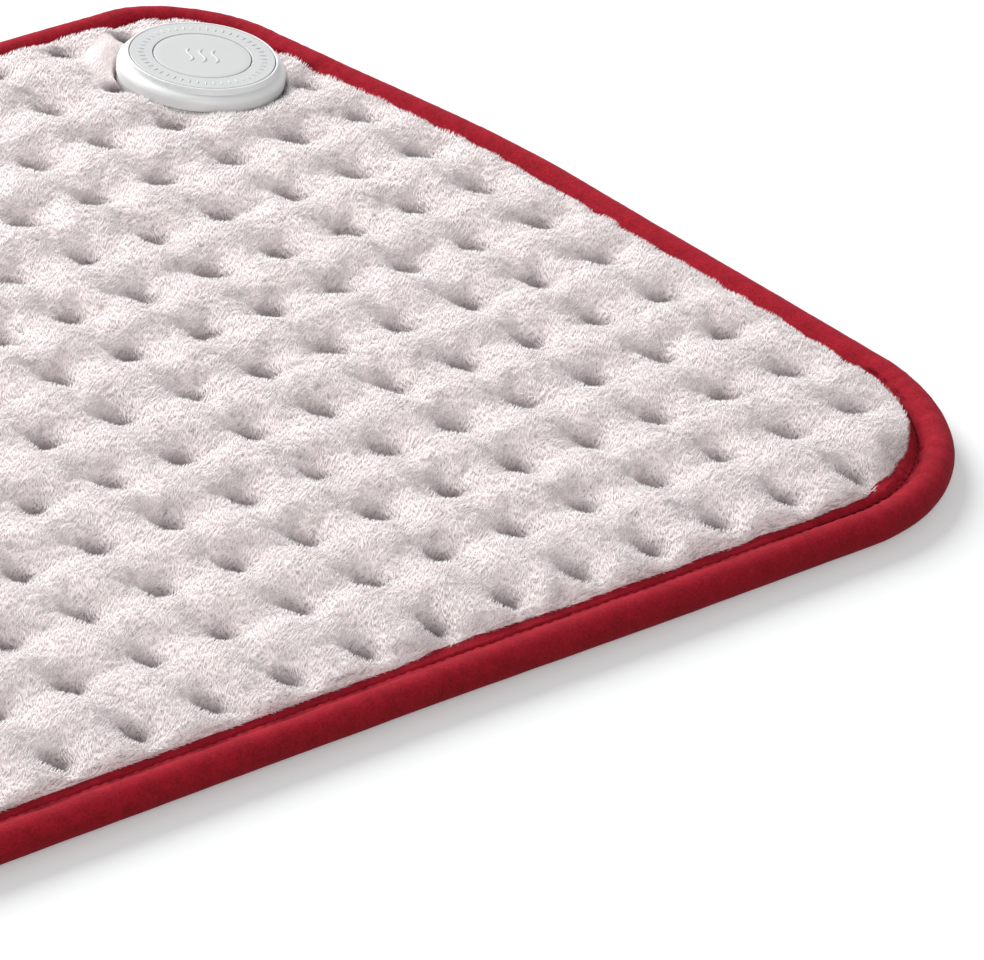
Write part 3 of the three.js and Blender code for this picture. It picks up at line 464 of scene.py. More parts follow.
def metal_material(name, colour, roughness):
    """Metal with fine drawn scratches and faint stains."""
    material, tree, shader = start_material(name)
    stains = noise_of(tree, object_place(tree), 400.0, 3.0)
    scratches = noise_of(tree, object_place(tree, (1, 1, 12)), 1800.0, 2.0)
    finish = {
        "Base Color": blended_colours(tree, stains, shaded(colour, 0.8), colour),
        "Normal": bumped(tree, [(scratches, 0.25, 0.00003)]),
        "Metallic": 1.0,
        "Roughness": roughness,
    }
    fit(tree, shader, finish)
    return material


def board_material():
    """Green solder mask over pale copper traces."""
    material, tree, shader = start_material("solder_mask")
    cells = add_node(
        tree,
        "ShaderNodeTexVoronoi",
        {
            "distance": "MANHATTAN",
            "feature": "DISTANCE_TO_EDGE",
            "Scale": 420.0,
            "Vector": object_place(tree),
        },
    )
    trace, mask = (0.05, 0.20, 0.08), (0.012, 0.075, 0.035)
    colour = blended_colours(tree, cells.outputs["Distance"], trace, mask, 0.03, 0.06)
    fit(tree, shader, {"Base Color": colour, "Roughness": 0.35})
    return material


FINISHES = {}


def finishes():
    """Each finish, made once, by the name of the record's slot that it stands for."""
    if not FINISHES:
        FINISHES.update(
            plush=plush_material(),
            tufts=tuft_material(),
            red_tape=tape_material(),
            thread=thread_material(),
            back_cloth=cloth_material("back_cloth", (0.66, 0.59, 0.57), (0.78, 0.71, 0.69), 0.0008),
            felt=cloth_material("carrier_felt", (0.55, 0.55, 0.53), (0.70, 0.70, 0.68), 0.0015),
            fibre_fill=cloth_material("fibre_fill", (0.72, 0.71, 0.69), (0.87, 0.86, 0.84), 0.004),
            foam=cloth_material("core_foam", (0.62, 0.57, 0.45), (0.80, 0.76, 0.64), 0.0025),
            white_plastic=moulded_material("satin_casing", colours().casing, 0.38),
            # Painted shade: the face ring, ticks and button take a darker white than the casing
            white_face=moulded_material("matt_face", colours().face, 0.5),
            grey_plastic=moulded_material("grey_plastic", (0.32, 0.33, 0.34), 0.5),
            black_plastic=moulded_material("black_plastic", (0.018, 0.018, 0.02), 0.42),
            silicone=moulded_material("wire_silicone", (0.66, 0.44, 0.25), 0.6),
            board=board_material(),
            steel=metal_material("plated_steel", (0.62, 0.63, 0.64), 0.32),
            brass=metal_material("brass_contact", (0.70, 0.50, 0.20), 0.28),
        )
    return FINISHES


# Making and placing meshes


def new_object(name, data):
    """A new object of the scene."""
    made = bpy.data.objects.new(name, data)
    bpy.context.scene.collection.objects.link(made)
    return made


def make_piece(name, points, faces, slot, smooth_shaded=True):
    """A mesh object from points in millimetres, with the finish of a slot."""
    mesh = bpy.data.meshes.new(name)
    metres = np.asarray(points, float) * MM
    mesh.from_pydata(metres.tolist(), [], [tuple(face) for face in faces])
    mesh.polygons.foreach_set("use_smooth", [smooth_shaded] * len(mesh.polygons))
    mesh.update()
    mesh.materials.append(finishes()[slot])
    return new_object(name, mesh)


def settle(piece, body, slot, *replaced):
    """The piece rides on a body and stands for CAD nodes, which it hides; its slot is not used."""
    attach(piece, body)
    if replaced:
        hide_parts(*replaced)
    return piece


def bake_modifiers(piece):
    """The result of a piece's modifiers becomes its mesh."""
    bpy.context.view_layer.update()
    depsgraph = bpy.context.evaluated_depsgraph_get()
    made = bpy.data.meshes.new_from_object(piece.evaluated_get(depsgraph))
    old = piece.data
    piece.modifiers.clear()
    if piece.type == "MESH":
        piece.data = made
        made.name = piece.name
        bpy.data.meshes.remove(old)
        return piece
    name = piece.name
    bpy.data.objects.remove(piece)
    return new_object(name, made)


def shade_smooth(piece):
    """Smooth shading on every face."""
    piece.data.polygons.foreach_set("use_smooth", [True] * len(piece.data.polygons))
    return piece


def hard_shaded(piece, degrees=30):
    """Smooth shading that breaks at the piece's real edges."""
    shade_smooth(piece)
    piece.data.set_sharp_from_angle(angle=math.radians(degrees))
    return piece


@contextmanager
def opened(piece):
    """A piece's mesh, open for changes within the block."""
    work = bmesh.new()
    work.from_mesh(piece.data)
    yield work
    work.to_mesh(piece.data)
    work.free()


def vectors_of(piece, key):
    """One vector for each of a mesh's vertices."""
    flat = np.zeros(len(piece.data.vertices) * 3)
    piece.data.vertices.foreach_get(key, flat)
    return flat.reshape(-1, 3)


def points_of(piece):
    """A mesh's vertices in millimetres."""
    return vectors_of(piece, "co") / MM


def put_points(piece, points):
    """Moves a mesh's vertices to places in millimetres."""
    piece.data.vertices.foreach_set("co", (np.asarray(points) * MM).ravel())
    piece.data.update()


def mark_points(piece, name, values):
    """Writes a number on each of a mesh's vertices, for its material or its pile."""
    piece.data.attributes.new(name, "FLOAT", "POINT").data.foreach_set("value", values)


def noise_at(points, seed=0.0):
    """Smooth noise from -1 to 1 at each row of points."""
    return np.array([noise.noise(Vector((x, y, z + seed))) for x, y, z in points])


def noise_in_plan(place, scale, seed):
    """Smooth noise from -1 to 1 at a place in plan."""
    return noise.noise(Vector((place[0] * scale, place[1] * scale, seed)))


def ring_walls(stations, sides):
    """The faces of a closed ring of equal sections."""
    faces = []
    for station in range(stations):
        here = station * sides
        there = (station + 1) % stations * sides
        for side in range(sides):
            after = (side + 1) % sides
            faces.append((here + side, there + side, there + after, here + after))
    return faces


def lathe(name, profile, slot, steps, centre=(0.0, 0.0)):
    """A solid turned from a profile of (radius, height) points, in the unit's own frame.

    The profile closes on itself, or it starts and ends on the axis."""
    on_axis = profile[0][0] == 0
    points = []
    faces = []
    count = len(profile)
    turn = 2 * math.pi / steps
    rings = []
    for radius, height in profile:
        if radius == 0:
            rings.append([len(points)])
            points.append((centre[0], centre[1], height))
            continue
        rings.append(list(range(len(points), len(points) + steps)))
        for step in range(steps):
            x = centre[0] + radius * math.cos(step * turn)
            y = centre[1] + radius * math.sin(step * turn)
            points.append((x, y, height))
    for index in range(count - 1 if on_axis else count):
        low, high = rings[index], rings[(index + 1) % count]
        for step in range(steps):
            after = (step + 1) % steps
            face = [low[step % len(low)], low[after % len(low)]]
            face += [high[after % len(high)], high[step % len(high)]]
            unique = list(dict.fromkeys(face))
            if len(unique) > 2:
                faces.append(unique)
    return make_piece(name, np.array(points) + UNIT_FOOT, faces, slot)


def arc(centre_radius, centre_height, radius, start, end, steps):
    """Points of a round corner in a profile, from one angle in degrees to another."""
    points = []
    for step in range(steps + 1):
        angle = math.radians(start + (end - start) * step / steps)
        x = centre_radius + radius * math.cos(angle)
        points.append((x, centre_height + radius * math.sin(angle)))
    return points


def cylinder(name, radius, place, low, high):
    """A rod that stands at a place on the unit's own floor plan."""
    profile = [(0, low), (radius, low), (radius, high), (0, high)]
    return lathe(name, profile, "white_plastic", 32, place)


def box(name, low, high):
    """A block between two corners in the unit's own frame."""
    levels = (low[2], high[2])
    corners = [(x, y, z) for z in levels for y in (low[1], high[1]) for x in (low[0], high[0])]
    faces = [(0, 2, 3, 1), (4, 5, 7, 6), (0, 1, 5, 4), (2, 6, 7, 3), (0, 4, 6, 2), (1, 3, 7, 5)]
    return make_piece(name, np.array(corners) + UNIT_FOOT, faces, "white_plastic", False)


def carve(piece, cutters, operation="DIFFERENCE"):
    """Cuts pieces from a piece or joins them to it, and removes them."""
    for cutter in cutters:
        modifier = piece.modifiers.new("carve", "BOOLEAN")
        modifier.operation = operation
        modifier.solver = "EXACT"
        modifier.object = cutter
        bake_modifiers(piece)
        bpy.data.objects.remove(cutter)
    return piece


def softened_copy(name, node, slot, width):
    """A CAD node's shape, merged from its loose triangles and with its edges rounded."""
    piece = new_object(name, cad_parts[node].data.copy())
    with opened(piece) as work:
        bmesh.ops.remove_doubles(work, verts=work.verts, dist=0.002 * MM)
        bmesh.ops.dissolve_limit(
            work, angle_limit=math.radians(1), verts=work.verts, edges=work.edges
        )
    piece.data.materials.clear()
    piece.data.materials.append(finishes()[slot])
    modifier = piece.modifiers.new("edges", "BEVEL")
    modifier.width = width * MM
    modifier.segments = 2
    modifier.limit_method = "ANGLE"
    modifier.angle_limit = math.radians(30)
    modifier.harden_normals = True
    return shade_smooth(bake_modifiers(piece))


def group_tree(name, inputs):
    """A Geometry Nodes group with named inputs of (name, kind, default)."""
    tree = bpy.data.node_groups.new(name, "GeometryNodeTree")
    tree.interface.new_socket("Geometry", in_out="INPUT", socket_type="NodeSocketGeometry")
    tree.interface.new_socket("Geometry", in_out="OUTPUT", socket_type="NodeSocketGeometry")
    for label, kind, default in inputs:
        socket = tree.interface.new_socket(label, in_out="INPUT", socket_type="NodeSocket" + kind)
        if default is not None:
            socket.default_value = default
    return tree, tree.nodes.new("NodeGroupInput").outputs


def repeat_on_points(tree, points, shape, rotation, size, material):
    """A shape on each point, made real and given its material, as the group's result."""
    scale = add_node(tree, "ShaderNodeCombineXYZ", dict(zip("XYZ", size)))
    put = add_node(
        tree,
        "GeometryNodeInstanceOnPoints",
        {
            "Points": points,
            "Instance": shape,
            "Rotation": rotation,
            "Scale": scale.outputs["Vector"],
        },
    )
    real = add_node(tree, "GeometryNodeRealizeInstances", {"Geometry": put.outputs["Instances"]})
    cover = add_node(
        tree,
        "GeometryNodeSetMaterial",
        {"Geometry": real.outputs["Geometry"], "Material": material},
    )
    add_node(tree, "NodeGroupOutput", {"Geometry": cover.outputs["Geometry"]})


def bead_of(tree, segments, rings):
    """A ball of unit width."""
    values = {"Segments": segments, "Rings": rings, "Radius": 0.5}
    return add_node(tree, "GeometryNodeMeshUVSphere", values).outputs["Mesh"]


def run_group(piece, tree, **values):
    """The result of a group on a piece, its named inputs set by their sockets' identifiers."""
    modifier = piece.modifiers.new("group", "NODES")
    modifier.node_group = tree
    for item in tree.interface.items_tree:
        label = item.name.replace(" ", "_").lower()
        if item.in_out == "INPUT" and label in values:
            modifier[item.identifier] = values[label]
    return bake_modifiers(piece)


# The pad's outline

CORNER_STEPS = 61
NEAR_SAG = 0.5  # how far the near long side is drawn in, away from its +X corner


def near_side(x, y):
    """1 along the near long side, fading out towards its +X corner and the pad's middle."""
    return smooth((110 - x) / 120) * smooth((-y - 60) / 90)


def lean_at(x, y, s):
    """How far the outline leans in at a point near the control unit's corner."""
    along = smooth((y - HALF_WIDTH + s.lean_reach) / s.lean_reach)
    span = s.lean_fade - s.unit_corner_radius / 2
    across = smooth((x - HALF_LENGTH + s.lean_fade) / span)
    return s.unit_corner_lean * along * across


def spaced(loop, spacing):
    """A closed loop of points with even steps near a spacing."""
    closed = np.vstack([loop, loop[:1]])
    steps = np.linalg.norm(np.diff(closed, axis=0), axis=1)
    length = np.concatenate([[0], np.cumsum(steps)])
    count = max(8, round(length[-1] / spacing))
    wanted = np.linspace(0, length[-1], count, endpoint=False)
    return np.stack([np.interp(wanted, length, closed[:, k]) for k in (0, 1)], 1)


def outward(loop):
    """The outward normals of a closed loop of points."""
    tangents = np.roll(loop, -1, 0) - np.roll(loop, 1, 0)
    tangents /= np.linalg.norm(tangents, axis=1)[:, None]
    return np.stack([tangents[:, 1], -tangents[:, 0]], 1)


def outline(inset, spacing, s):
    """Evenly spaced points and outward normals round the pad, inset from its outer edge."""
    corners = (
        (1, -1, -90, s.corner_radius),
        (1, 1, 0, s.unit_corner_radius),
        (-1, 1, 90, s.corner_radius),
        (-1, -1, 180, s.corner_radius),
    )
    loop = []
    for sign_x, sign_y, start, radius in corners:
        centre_x = sign_x * (HALF_LENGTH - radius)
        centre_y = sign_y * (HALF_WIDTH - radius)
        for degrees in np.linspace(start, start + 90, CORNER_STEPS):
            angle = math.radians(degrees)
            point = (centre_x + radius * math.cos(angle), centre_y + radius * math.sin(angle))
            loop.append(point)
    loop = spaced(np.array(loop), 1.0)
    loop[:, 0] -= lean_at(loop[:, 0], loop[:, 1], s)
    loop[:, 1] += NEAR_SAG * near_side(loop[:, 0], loop[:, 1])
    inner = spaced(loop - outward(loop) * inset, spacing)
    return inner, outward(inner)


def plush_inset(s):
    """How far the plush's edge lies in from the pad's outer edge."""
    return 2 * ROLL_RADIUS + s.seam_width + s.hem_width + 0.3


def depth_in_plush(x, y, s):
    """Distance from points in the plush to its nearest edge."""
    inset = plush_inset(s)
    beside_unit = (x > 0) & (y > 0)
    radius = np.where(beside_unit, s.unit_corner_radius, s.corner_radius) - inset
    past_x = np.abs(x + lean_at(x, y, s)) - (HALF_LENGTH - inset - radius)
    past_y = np.abs(y) - (HALF_WIDTH - inset - radius)
    outside = np.hypot(np.maximum(past_x, 0), np.maximum(past_y, 0))
    return radius - outside - np.minimum(np.maximum(past_x, past_y), 0)


def from_unit(x, y):
    """Distance from the control unit's axis."""
    return np.hypot(x - UNIT_X, y - UNIT_Y)


# The quilted plush

CELLS_PER_PITCH = 8
FINER_LEVELS = 2
DIMPLE_Z = COVER_LOW[2] + 2.3  # height of the valleys round the stitched pits
DIMPLE_EDGE_CLEARANCE = 3.0
DIMPLE_UNIT_CLEARANCE = 22.0
PIT_RADIUS = 2.7  # of the tight pit at a stitch
PIT_DEPTH = 3.2
PIT_SHIFT = (-1.2, -1.2)  # from the stitch to the middle of the pit that the pile leaves
SLOPE_REACH = 7.9  # how far a pillow's slope runs out from a pit
SLOPE_POWER = 1.4
FAR_CROWN = 13.8  # height of the fuller pillows beside the far long side
END_CROWN = 11.0  # height of the plush at the short side
HEM_TOP = 7.42
HEM_LIP = HEM_TOP - 0.9  # where the plush meets the hem
SHOULDER = 6.5  # how far the plush takes to round off towards the hem
HEM_GAPS = ((30, 26, 2.0), (186, 24, 2.2))  # middle along X, reach and how far it stays back
HEM_OVERLAP = 2.4  # how far the plush reaches over the hem at the near corner
NEAR_CORNER = (153.0, -98.0)  # middle of the near corner's round
COVER_UNDERSIDE = 4.65
SEAT_RADIUS = UNIT_RADIUS + 0.1
SEAT_FLOOR = 5.9
SEAT_HOLE = 16.5
UNIT_EASE = 7.0
UNIT_CONTACT = 11.0  # height of the plush against the control unit
BEHIND_UNIT = 8.6  # height of the plush between the unit and the far corner
FAR_WAY = (0.667, 0.746)  # from the unit's axis to the far corner
SIDE_WAY = (0.738, -0.674)
PRESSED_STRIP = 9.0  # pile pressed flat between the unit and the far edge
TUFTS_ON_SQUARE_METRE = 1.8e6
PILE_PIECES = 8
STITCH_HOLD = 1.3  # radius that a stitch holds still while the quilt swells
SWELL_FRAMES = 16
SWELL_PRESSURE = 30.0
SWELL_SLACK = 0.03
SWELL_REACH = 1.6


def bell(value, middle, width):
    """1 at the middle, falling off to both sides."""
    return np.exp(-(((value - middle) / width) ** 2))


def dimples(s):
    """The places of the dimples that lie in the plush, clear of the control unit."""
    columns = np.arange(-12, 13) * s.quilt_pitch + s.quilt_shift_x
    rows = np.arange(-9, 10) * s.quilt_pitch + s.quilt_shift_y
    x, y = (grid.ravel() for grid in np.meshgrid(columns, rows))
    inside = depth_in_plush(x, y, s) > DIMPLE_EDGE_CLEARANCE
    clear = from_unit(x, y) > DIMPLE_UNIT_CLEARANCE
    return np.stack([x, y], 1)[inside & clear]


def pit_share(x, y, s):
    """1 in the middle of each stitched pit, 0 away from the pits."""
    share = np.zeros_like(x)
    places = dimples(s)
    stray = [[noise_in_plan(place, 0.37, seed) for seed in (4.0, 13.0)] for place in places]
    for dimple_x, dimple_y in places + np.array(PIT_SHIFT) + np.array(stray):
        near = (np.abs(x - dimple_x) < 7) & (np.abs(y - dimple_y) < 7)
        distance = np.hypot(x[near] - dimple_x, y[near] - dimple_y)
        share[near] += bell(distance, 0, PIT_RADIUS)
    return share


def hem_wave(x, y):
    """How far the plush reaches out over an even line beside the hem."""
    wave = 0.7 * noise_at(np.column_stack([x * 0.045, y * 0.045, 0 * x]), 71.0)
    wave += 0.35 * noise_at(np.column_stack([x * 0.16, y * 0.16, 0 * x]), 83.0)
    gaps = sum(back * bell(x, middle, reach) for middle, reach, back in HEM_GAPS)
    wave -= smooth((-y - 110) / 25) * gaps
    corner_x, corner_y = NEAR_CORNER
    turn = np.degrees(np.arctan2(y - corner_y, x - corner_x))
    return wave + HEM_OVERLAP * bell(turn, -38, 20) * smooth((x - corner_x) / 20)


def lie_round_unit(x, y, height):
    """The plush's height, brought to one level against the unit and laid low behind it."""
    reach = from_unit(x, y)
    beyond = (x - UNIT_X) * FAR_WAY[0] + (y - UNIT_Y) * FAR_WAY[1]
    side = (x - UNIT_X) * SIDE_WAY[0] + (y - UNIT_Y) * SIDE_WAY[1]
    behind = smooth((beyond - 6) / 12)
    behind = behind * smooth((60 - reach) / 14)
    behind = behind * smooth((13 - side) / 10) * smooth((side + 22) / 10)
    level = UNIT_CONTACT + (BEHIND_UNIT - UNIT_CONTACT) * behind
    away = smooth((reach - SEAT_RADIUS) / UNIT_EASE)
    return level + (height - level) * away * (1 - 0.75 * behind)


def quilt_height(x, y, s):
    """The height of the quilted surface at points in plan, without its tight pits."""
    pillow = np.ones_like(x)
    cell = 1.3 * s.quilt_pitch
    for dimple_x, dimple_y in dimples(s):
        near = (np.abs(x - dimple_x) < cell) & (np.abs(y - dimple_y) < cell)
        distance = np.hypot(x[near] - dimple_x, y[near] - dimple_y)
        pillow[near] *= 1 - np.exp(-((distance / SLOPE_REACH) ** SLOPE_POWER))
    crown = 1 - math.exp(-((s.quilt_pitch / math.sqrt(2) / SLOPE_REACH) ** SLOPE_POWER))
    pillow = np.minimum(pillow / crown**4, 1.0)
    height = DIMPLE_Z + s.pile_rise * pillow
    # Beside the far long side the pillows stand fuller, and at the short side they even out
    depth = depth_in_plush(x, y, s)
    far_side = smooth((y - 110) / 30) * smooth((176 - x) / 22)
    height += (1 - smooth(depth / 11)) * far_side * np.maximum(FAR_CROWN - height, 0)
    end_side = smooth((x - 190) / 12) * (1 - smooth((depth - 2) / 8))
    height += 0.8 * end_side * (END_CROWN - height)
    # The plush rounds off towards the hem, along a slightly wavy line
    inward = np.clip((depth + hem_wave(x, y)) / SHOULDER, 0, 1)
    height = HEM_LIP + (height - HEM_LIP) * np.sqrt(1 - (1 - inward) ** 2)
    return lie_round_unit(x, y, height)


def inside_loop(x, y, loop, margin):
    """Which points lie inside a loop by more than a margin."""
    inside = np.zeros(len(x), bool)
    ends = np.roll(loop, -1, 0)
    nearest = np.full(len(x), np.inf)
    for (ax, ay), (bx, by) in zip(loop, ends):
        crosses = (ay > y) != (by > y)
        if crosses.any():
            at = ax + (y[crosses] - ay) * (bx - ax) / (by - ay)
            inside[crosses] ^= x[crosses] < at
        close = np.flatnonzero((np.abs(x - ax) < 12) & (np.abs(y - ay) < 12))
        if len(close):
            span = np.array([bx - ax, by - ay])
            share = ((x[close] - ax) * span[0] + (y[close] - ay) * span[1]) / (span @ span)
            share = np.clip(share, 0, 1)
            gap = np.hypot(x[close] - ax - share * span[0], y[close] - ay - share * span[1])
            nearest[close] = np.minimum(nearest[close], gap)
    return inside & (nearest > margin)


def plan_mesh(border, hole, spacing, s):
    """Points and triangles of a flat area between a border loop and a hole, on the quilt's grid."""
    margin = 0.45 * spacing
    reach_x = math.ceil(HALF_LENGTH / spacing) + 1
    reach_y = math.ceil(HALF_WIDTH / spacing) + 1
    columns = np.arange(-reach_x, reach_x + 1) * spacing + s.quilt_shift_x
    rows = np.arange(-reach_y, reach_y + 1) * spacing + s.quilt_shift_y
    x, y = (grid.ravel() for grid in np.meshgrid(columns, rows))
    keep = inside_loop(x, y, border, margin)
    if hole is not None:
        keep &= from_unit(x, y) > np.max(from_unit(hole[:, 0], hole[:, 1])) + margin
    grid = np.stack([x, y], 1)[keep]
    loops = [border] if hole is None else [border, hole]
    points = np.vstack([*loops, grid])
    edges = []
    start = 0
    for loop in loops:
        count = len(loop)
        edges += [(start + k, start + (k + 1) % count) for k in range(count)]
        start += count
    made = delaunay_2d_cdt([Vector(p) for p in points.tolist()], edges, [], 1, 1e-4)
    flat = np.array([tuple(p) for p in made[0]])
    triangles = []
    for face in made[2]:
        middle = flat[list(face)].mean(0)
        in_hole = hole is not None and from_unit(*middle) < from_unit(*hole[0]) - 1e-3
        if not in_hole:
            triangles.append(tuple(face))
    return flat, triangles


def loop_order(flat, loop):
    """Which points of a plan stand at the places of a loop."""
    return [int(np.argmin(np.sum((flat - place) ** 2, 1))) for place in loop]


def plush_shell(s, spacing):
    """The quilted top, its sides down to the hem and its seat round the unit, as one open sheet."""
    border, normals = outline(plush_inset(s) + 1.8, spacing, s)
    seat_steps = max(48, round(2 * math.pi * SEAT_RADIUS / spacing))
    angles = np.linspace(0, 2 * math.pi, seat_steps, endpoint=False)
    ring = np.stack([np.cos(angles), np.sin(angles)], 1)
    centre = UNIT_FOOT[:2]
    hole = centre + ring * (SEAT_RADIUS + 0.9)
    flat, triangles = plan_mesh(border, hole, spacing, s)
    heights = quilt_height(flat[:, 0], flat[:, 1], s)
    points = [(*place, height) for place, height in zip(flat, heights)]
    faces = [tuple(face) for face in triangles]
    pinned = [False] * len(points)
    # Down the outer side and under the hem: how far out from the first ring, and the height
    outer_rings = (
        (0.7, None, False),
        (1.3, None, False),
        (1.8, None, True),
        (1.6, 6.8, True),
        (0.6, 5.9, True),
        (4.9, 5.7, True),
        (4.9, COVER_UNDERSIDE, True),
        (-6.0, COVER_UNDERSIDE, True),
    )
    first = loop_order(flat, border)
    for out, level, pin in outer_rings:
        start = len(points)
        places = border + normals * out
        heights = quilt_height(places[:, 0], places[:, 1], s)
        for place, height in zip(places, heights):
            points.append((*place, height if level is None else level))
            pinned.append(pin)
        count = len(border)
        for k in range(count):
            after = (k + 1) % count
            faces.append((first[after], first[k], start + k, start + after))
        first = list(range(start, start + count))
    # Down the seat's wall, along its floor, and through the hole under the unit: radius, and
    # the height or, below zero, the drop from the top
    seat_tops = quilt_height(hole[:, 0], hole[:, 1], s)
    seat_rings = (
        (SEAT_RADIUS + 0.4, -0.05, False),
        (SEAT_RADIUS, -0.5, False),
        (SEAT_RADIUS, SEAT_FLOOR, True),
        (SEAT_RADIUS - 3.0, SEAT_FLOOR, True),
        (SEAT_HOLE, SEAT_FLOOR, True),
        (SEAT_HOLE, COVER_UNDERSIDE, True),
        (SEAT_RADIUS + 1.0, COVER_UNDERSIDE, True),
    )
    first = loop_order(flat, hole)
    for radius, level, pin in seat_rings:
        start = len(points)
        for way, top in zip(ring, seat_tops):
            x, y = centre + way * radius
            points.append((x, y, max(top + level, SEAT_FLOOR + 0.3) if level < 0 else level))
            pinned.append(pin)
        for k in range(seat_steps):
            after = (k + 1) % seat_steps
            faces.append((first[k], first[after], start + after, start + k))
        first = list(range(start, start + seat_steps))
    return np.array(points), faces, pinned


def joined_quads(piece):
    """Pairs of triangles that form a square become one face."""
    with opened(piece) as work:
        bmesh.ops.join_triangles(
            work,
            faces=[face for face in work.faces if len(face.verts) == 3],
            angle_face_threshold=math.radians(60),
            angle_shape_threshold=math.radians(60),
        )
        bmesh.ops.recalc_face_normals(work, faces=work.faces)


def inflate_quilt(piece, pinned, s):
    """Presses the quilt out between its dimples with Blender's Cloth, within a small reach."""
    start = points_of(piece)
    at_dimple = np.zeros(len(start), bool)
    for place in dimples(s):
        at_dimple |= np.hypot(start[:, 0] - place[0], start[:, 1] - place[1]) < STITCH_HOLD
    held = np.flatnonzero(at_dimple | np.array(pinned))
    group = piece.vertex_groups.new(name="held")
    group.add(held.tolist(), 1.0, "REPLACE")
    cloth = piece.modifiers.new("swell", "CLOTH")
    setting = cloth.settings
    setting.quality = 6
    setting.mass = 0.0004
    setting.air_damping = 2.0
    setting.tension_stiffness = 2.0
    setting.compression_stiffness = 2.0
    setting.shear_stiffness = 1.0
    setting.bending_stiffness = 0.0005
    setting.tension_damping = 1.0
    setting.shear_damping = 1.0
    setting.vertex_group_mass = "held"
    setting.pin_stiffness = 1.0
    setting.use_pressure = True
    setting.uniform_pressure_force = SWELL_PRESSURE
    setting.shrink_min = -SWELL_SLACK
    setting.effector_weights.gravity = 0.0
    cloth.collision_settings.use_collision = False
    cloth.point_cache.frame_end = SWELL_FRAMES
    scene = bpy.context.scene
    for index in range(1, SWELL_FRAMES + 1):
        scene.frame_set(index)
    bake_modifiers(piece)
    scene.frame_set(1)
    moved = points_of(piece) - start
    length = np.linalg.norm(moved, axis=1)
    cap = np.minimum(1, SWELL_REACH / np.maximum(length, 1e-9))
    put_points(piece, start + moved * cap[:, None])


def comb_pile(piece, s):
    """Raises the pile in combed locks, and marks on the mesh where its pits and tufts are."""
    points = points_of(piece)
    upward = vectors_of(piece, "normal")
    way = np.array([math.cos(COMB_TURN), math.sin(COMB_TURN)])
    along = points[:, 0] * way[0] + points[:, 1] * way[1]
    across = points[:, 1] * way[0] - points[:, 0] * way[1]
    drift = noise_at(points * 0.05, 7.0)
    locks = noise_at(np.stack([along * 0.12, (across + 2.5 * drift) * 0.42, points[:, 2] * 0.2], 1))
    tufts = noise_at(np.stack([along * 0.3, (across + drift) * 0.85, points[:, 2] * 0.3], 1), 31.0)
    lumps = noise_at(points * 0.07, 53.0)
    pit = pit_share(points[:, 0], points[:, 1], s) * (points[:, 2] > DIMPLE_Z - 0.6)
    top = smooth((points[:, 2] - DIMPLE_Z + 0.6) / 3.0) * (upward[:, 2] > -0.2)
    side = from_unit(points[:, 0], points[:, 1]) > SEAT_RADIUS + 0.6
    lift = top * side * (0.12 * locks + 0.16 * tufts + 0.22 * lumps)
    points = points + upward * lift[:, None]
    points[:, 2] -= PIT_DEPTH * pit
    put_points(piece, points)
    # The pit mark carries the painted shade in the pits into the pile's colour
    mark_points(piece, "pit", np.clip(pit, 0, 1) ** 0.45)
    reach = from_unit(points[:, 0], points[:, 1])
    clear = reach > SEAT_RADIUS + 0.5
    grown = (upward[:, 2] > -0.3) & (points[:, 2] > HEM_TOP - 0.7) & clear
    pressed = (reach < SEAT_RADIUS + PRESSED_STRIP) & (points[:, 1] > UNIT_Y)
    mark_points(piece, "pile", grown * ~pressed * np.clip(1.1 - 2.5 * pit, 0, 1))


def close_underside(piece):
    """Fills the flat underside between its outer loop and the loop round the unit's hole."""
    with opened(piece) as work:
        border = [edge for edge in work.edges if edge.is_boundary]
        bmesh.ops.triangle_fill(work, use_beauty=False, use_dissolve=False, edges=border)
        bmesh.ops.recalc_face_normals(work, faces=work.faces)


class HEATPAD_OT_plush(bpy.types.Operator):
    """Model the quilted plush cover"""

    bl_idname = "heat_pad.plush"
    bl_label = "Plush cover"

    def execute(self, context):
        s = sizes()
        points, faces, pinned = plush_shell(s, s.quilt_pitch / CELLS_PER_PITCH)
        cover = make_piece("plush_cover", points, faces, "plush")
        joined_quads(cover)
        inflate_quilt(cover, pinned, s)
        finer = cover.modifiers.new("finer", "SUBSURF")
        finer.levels = finer.render_levels = FINER_LEVELS
        bake_modifiers(cover)
        comb_pile(cover, s)
        close_underside(cover)
        settle(shade_smooth(cover), "root", "plush", "top_cover")
        return {"FINISHED"}


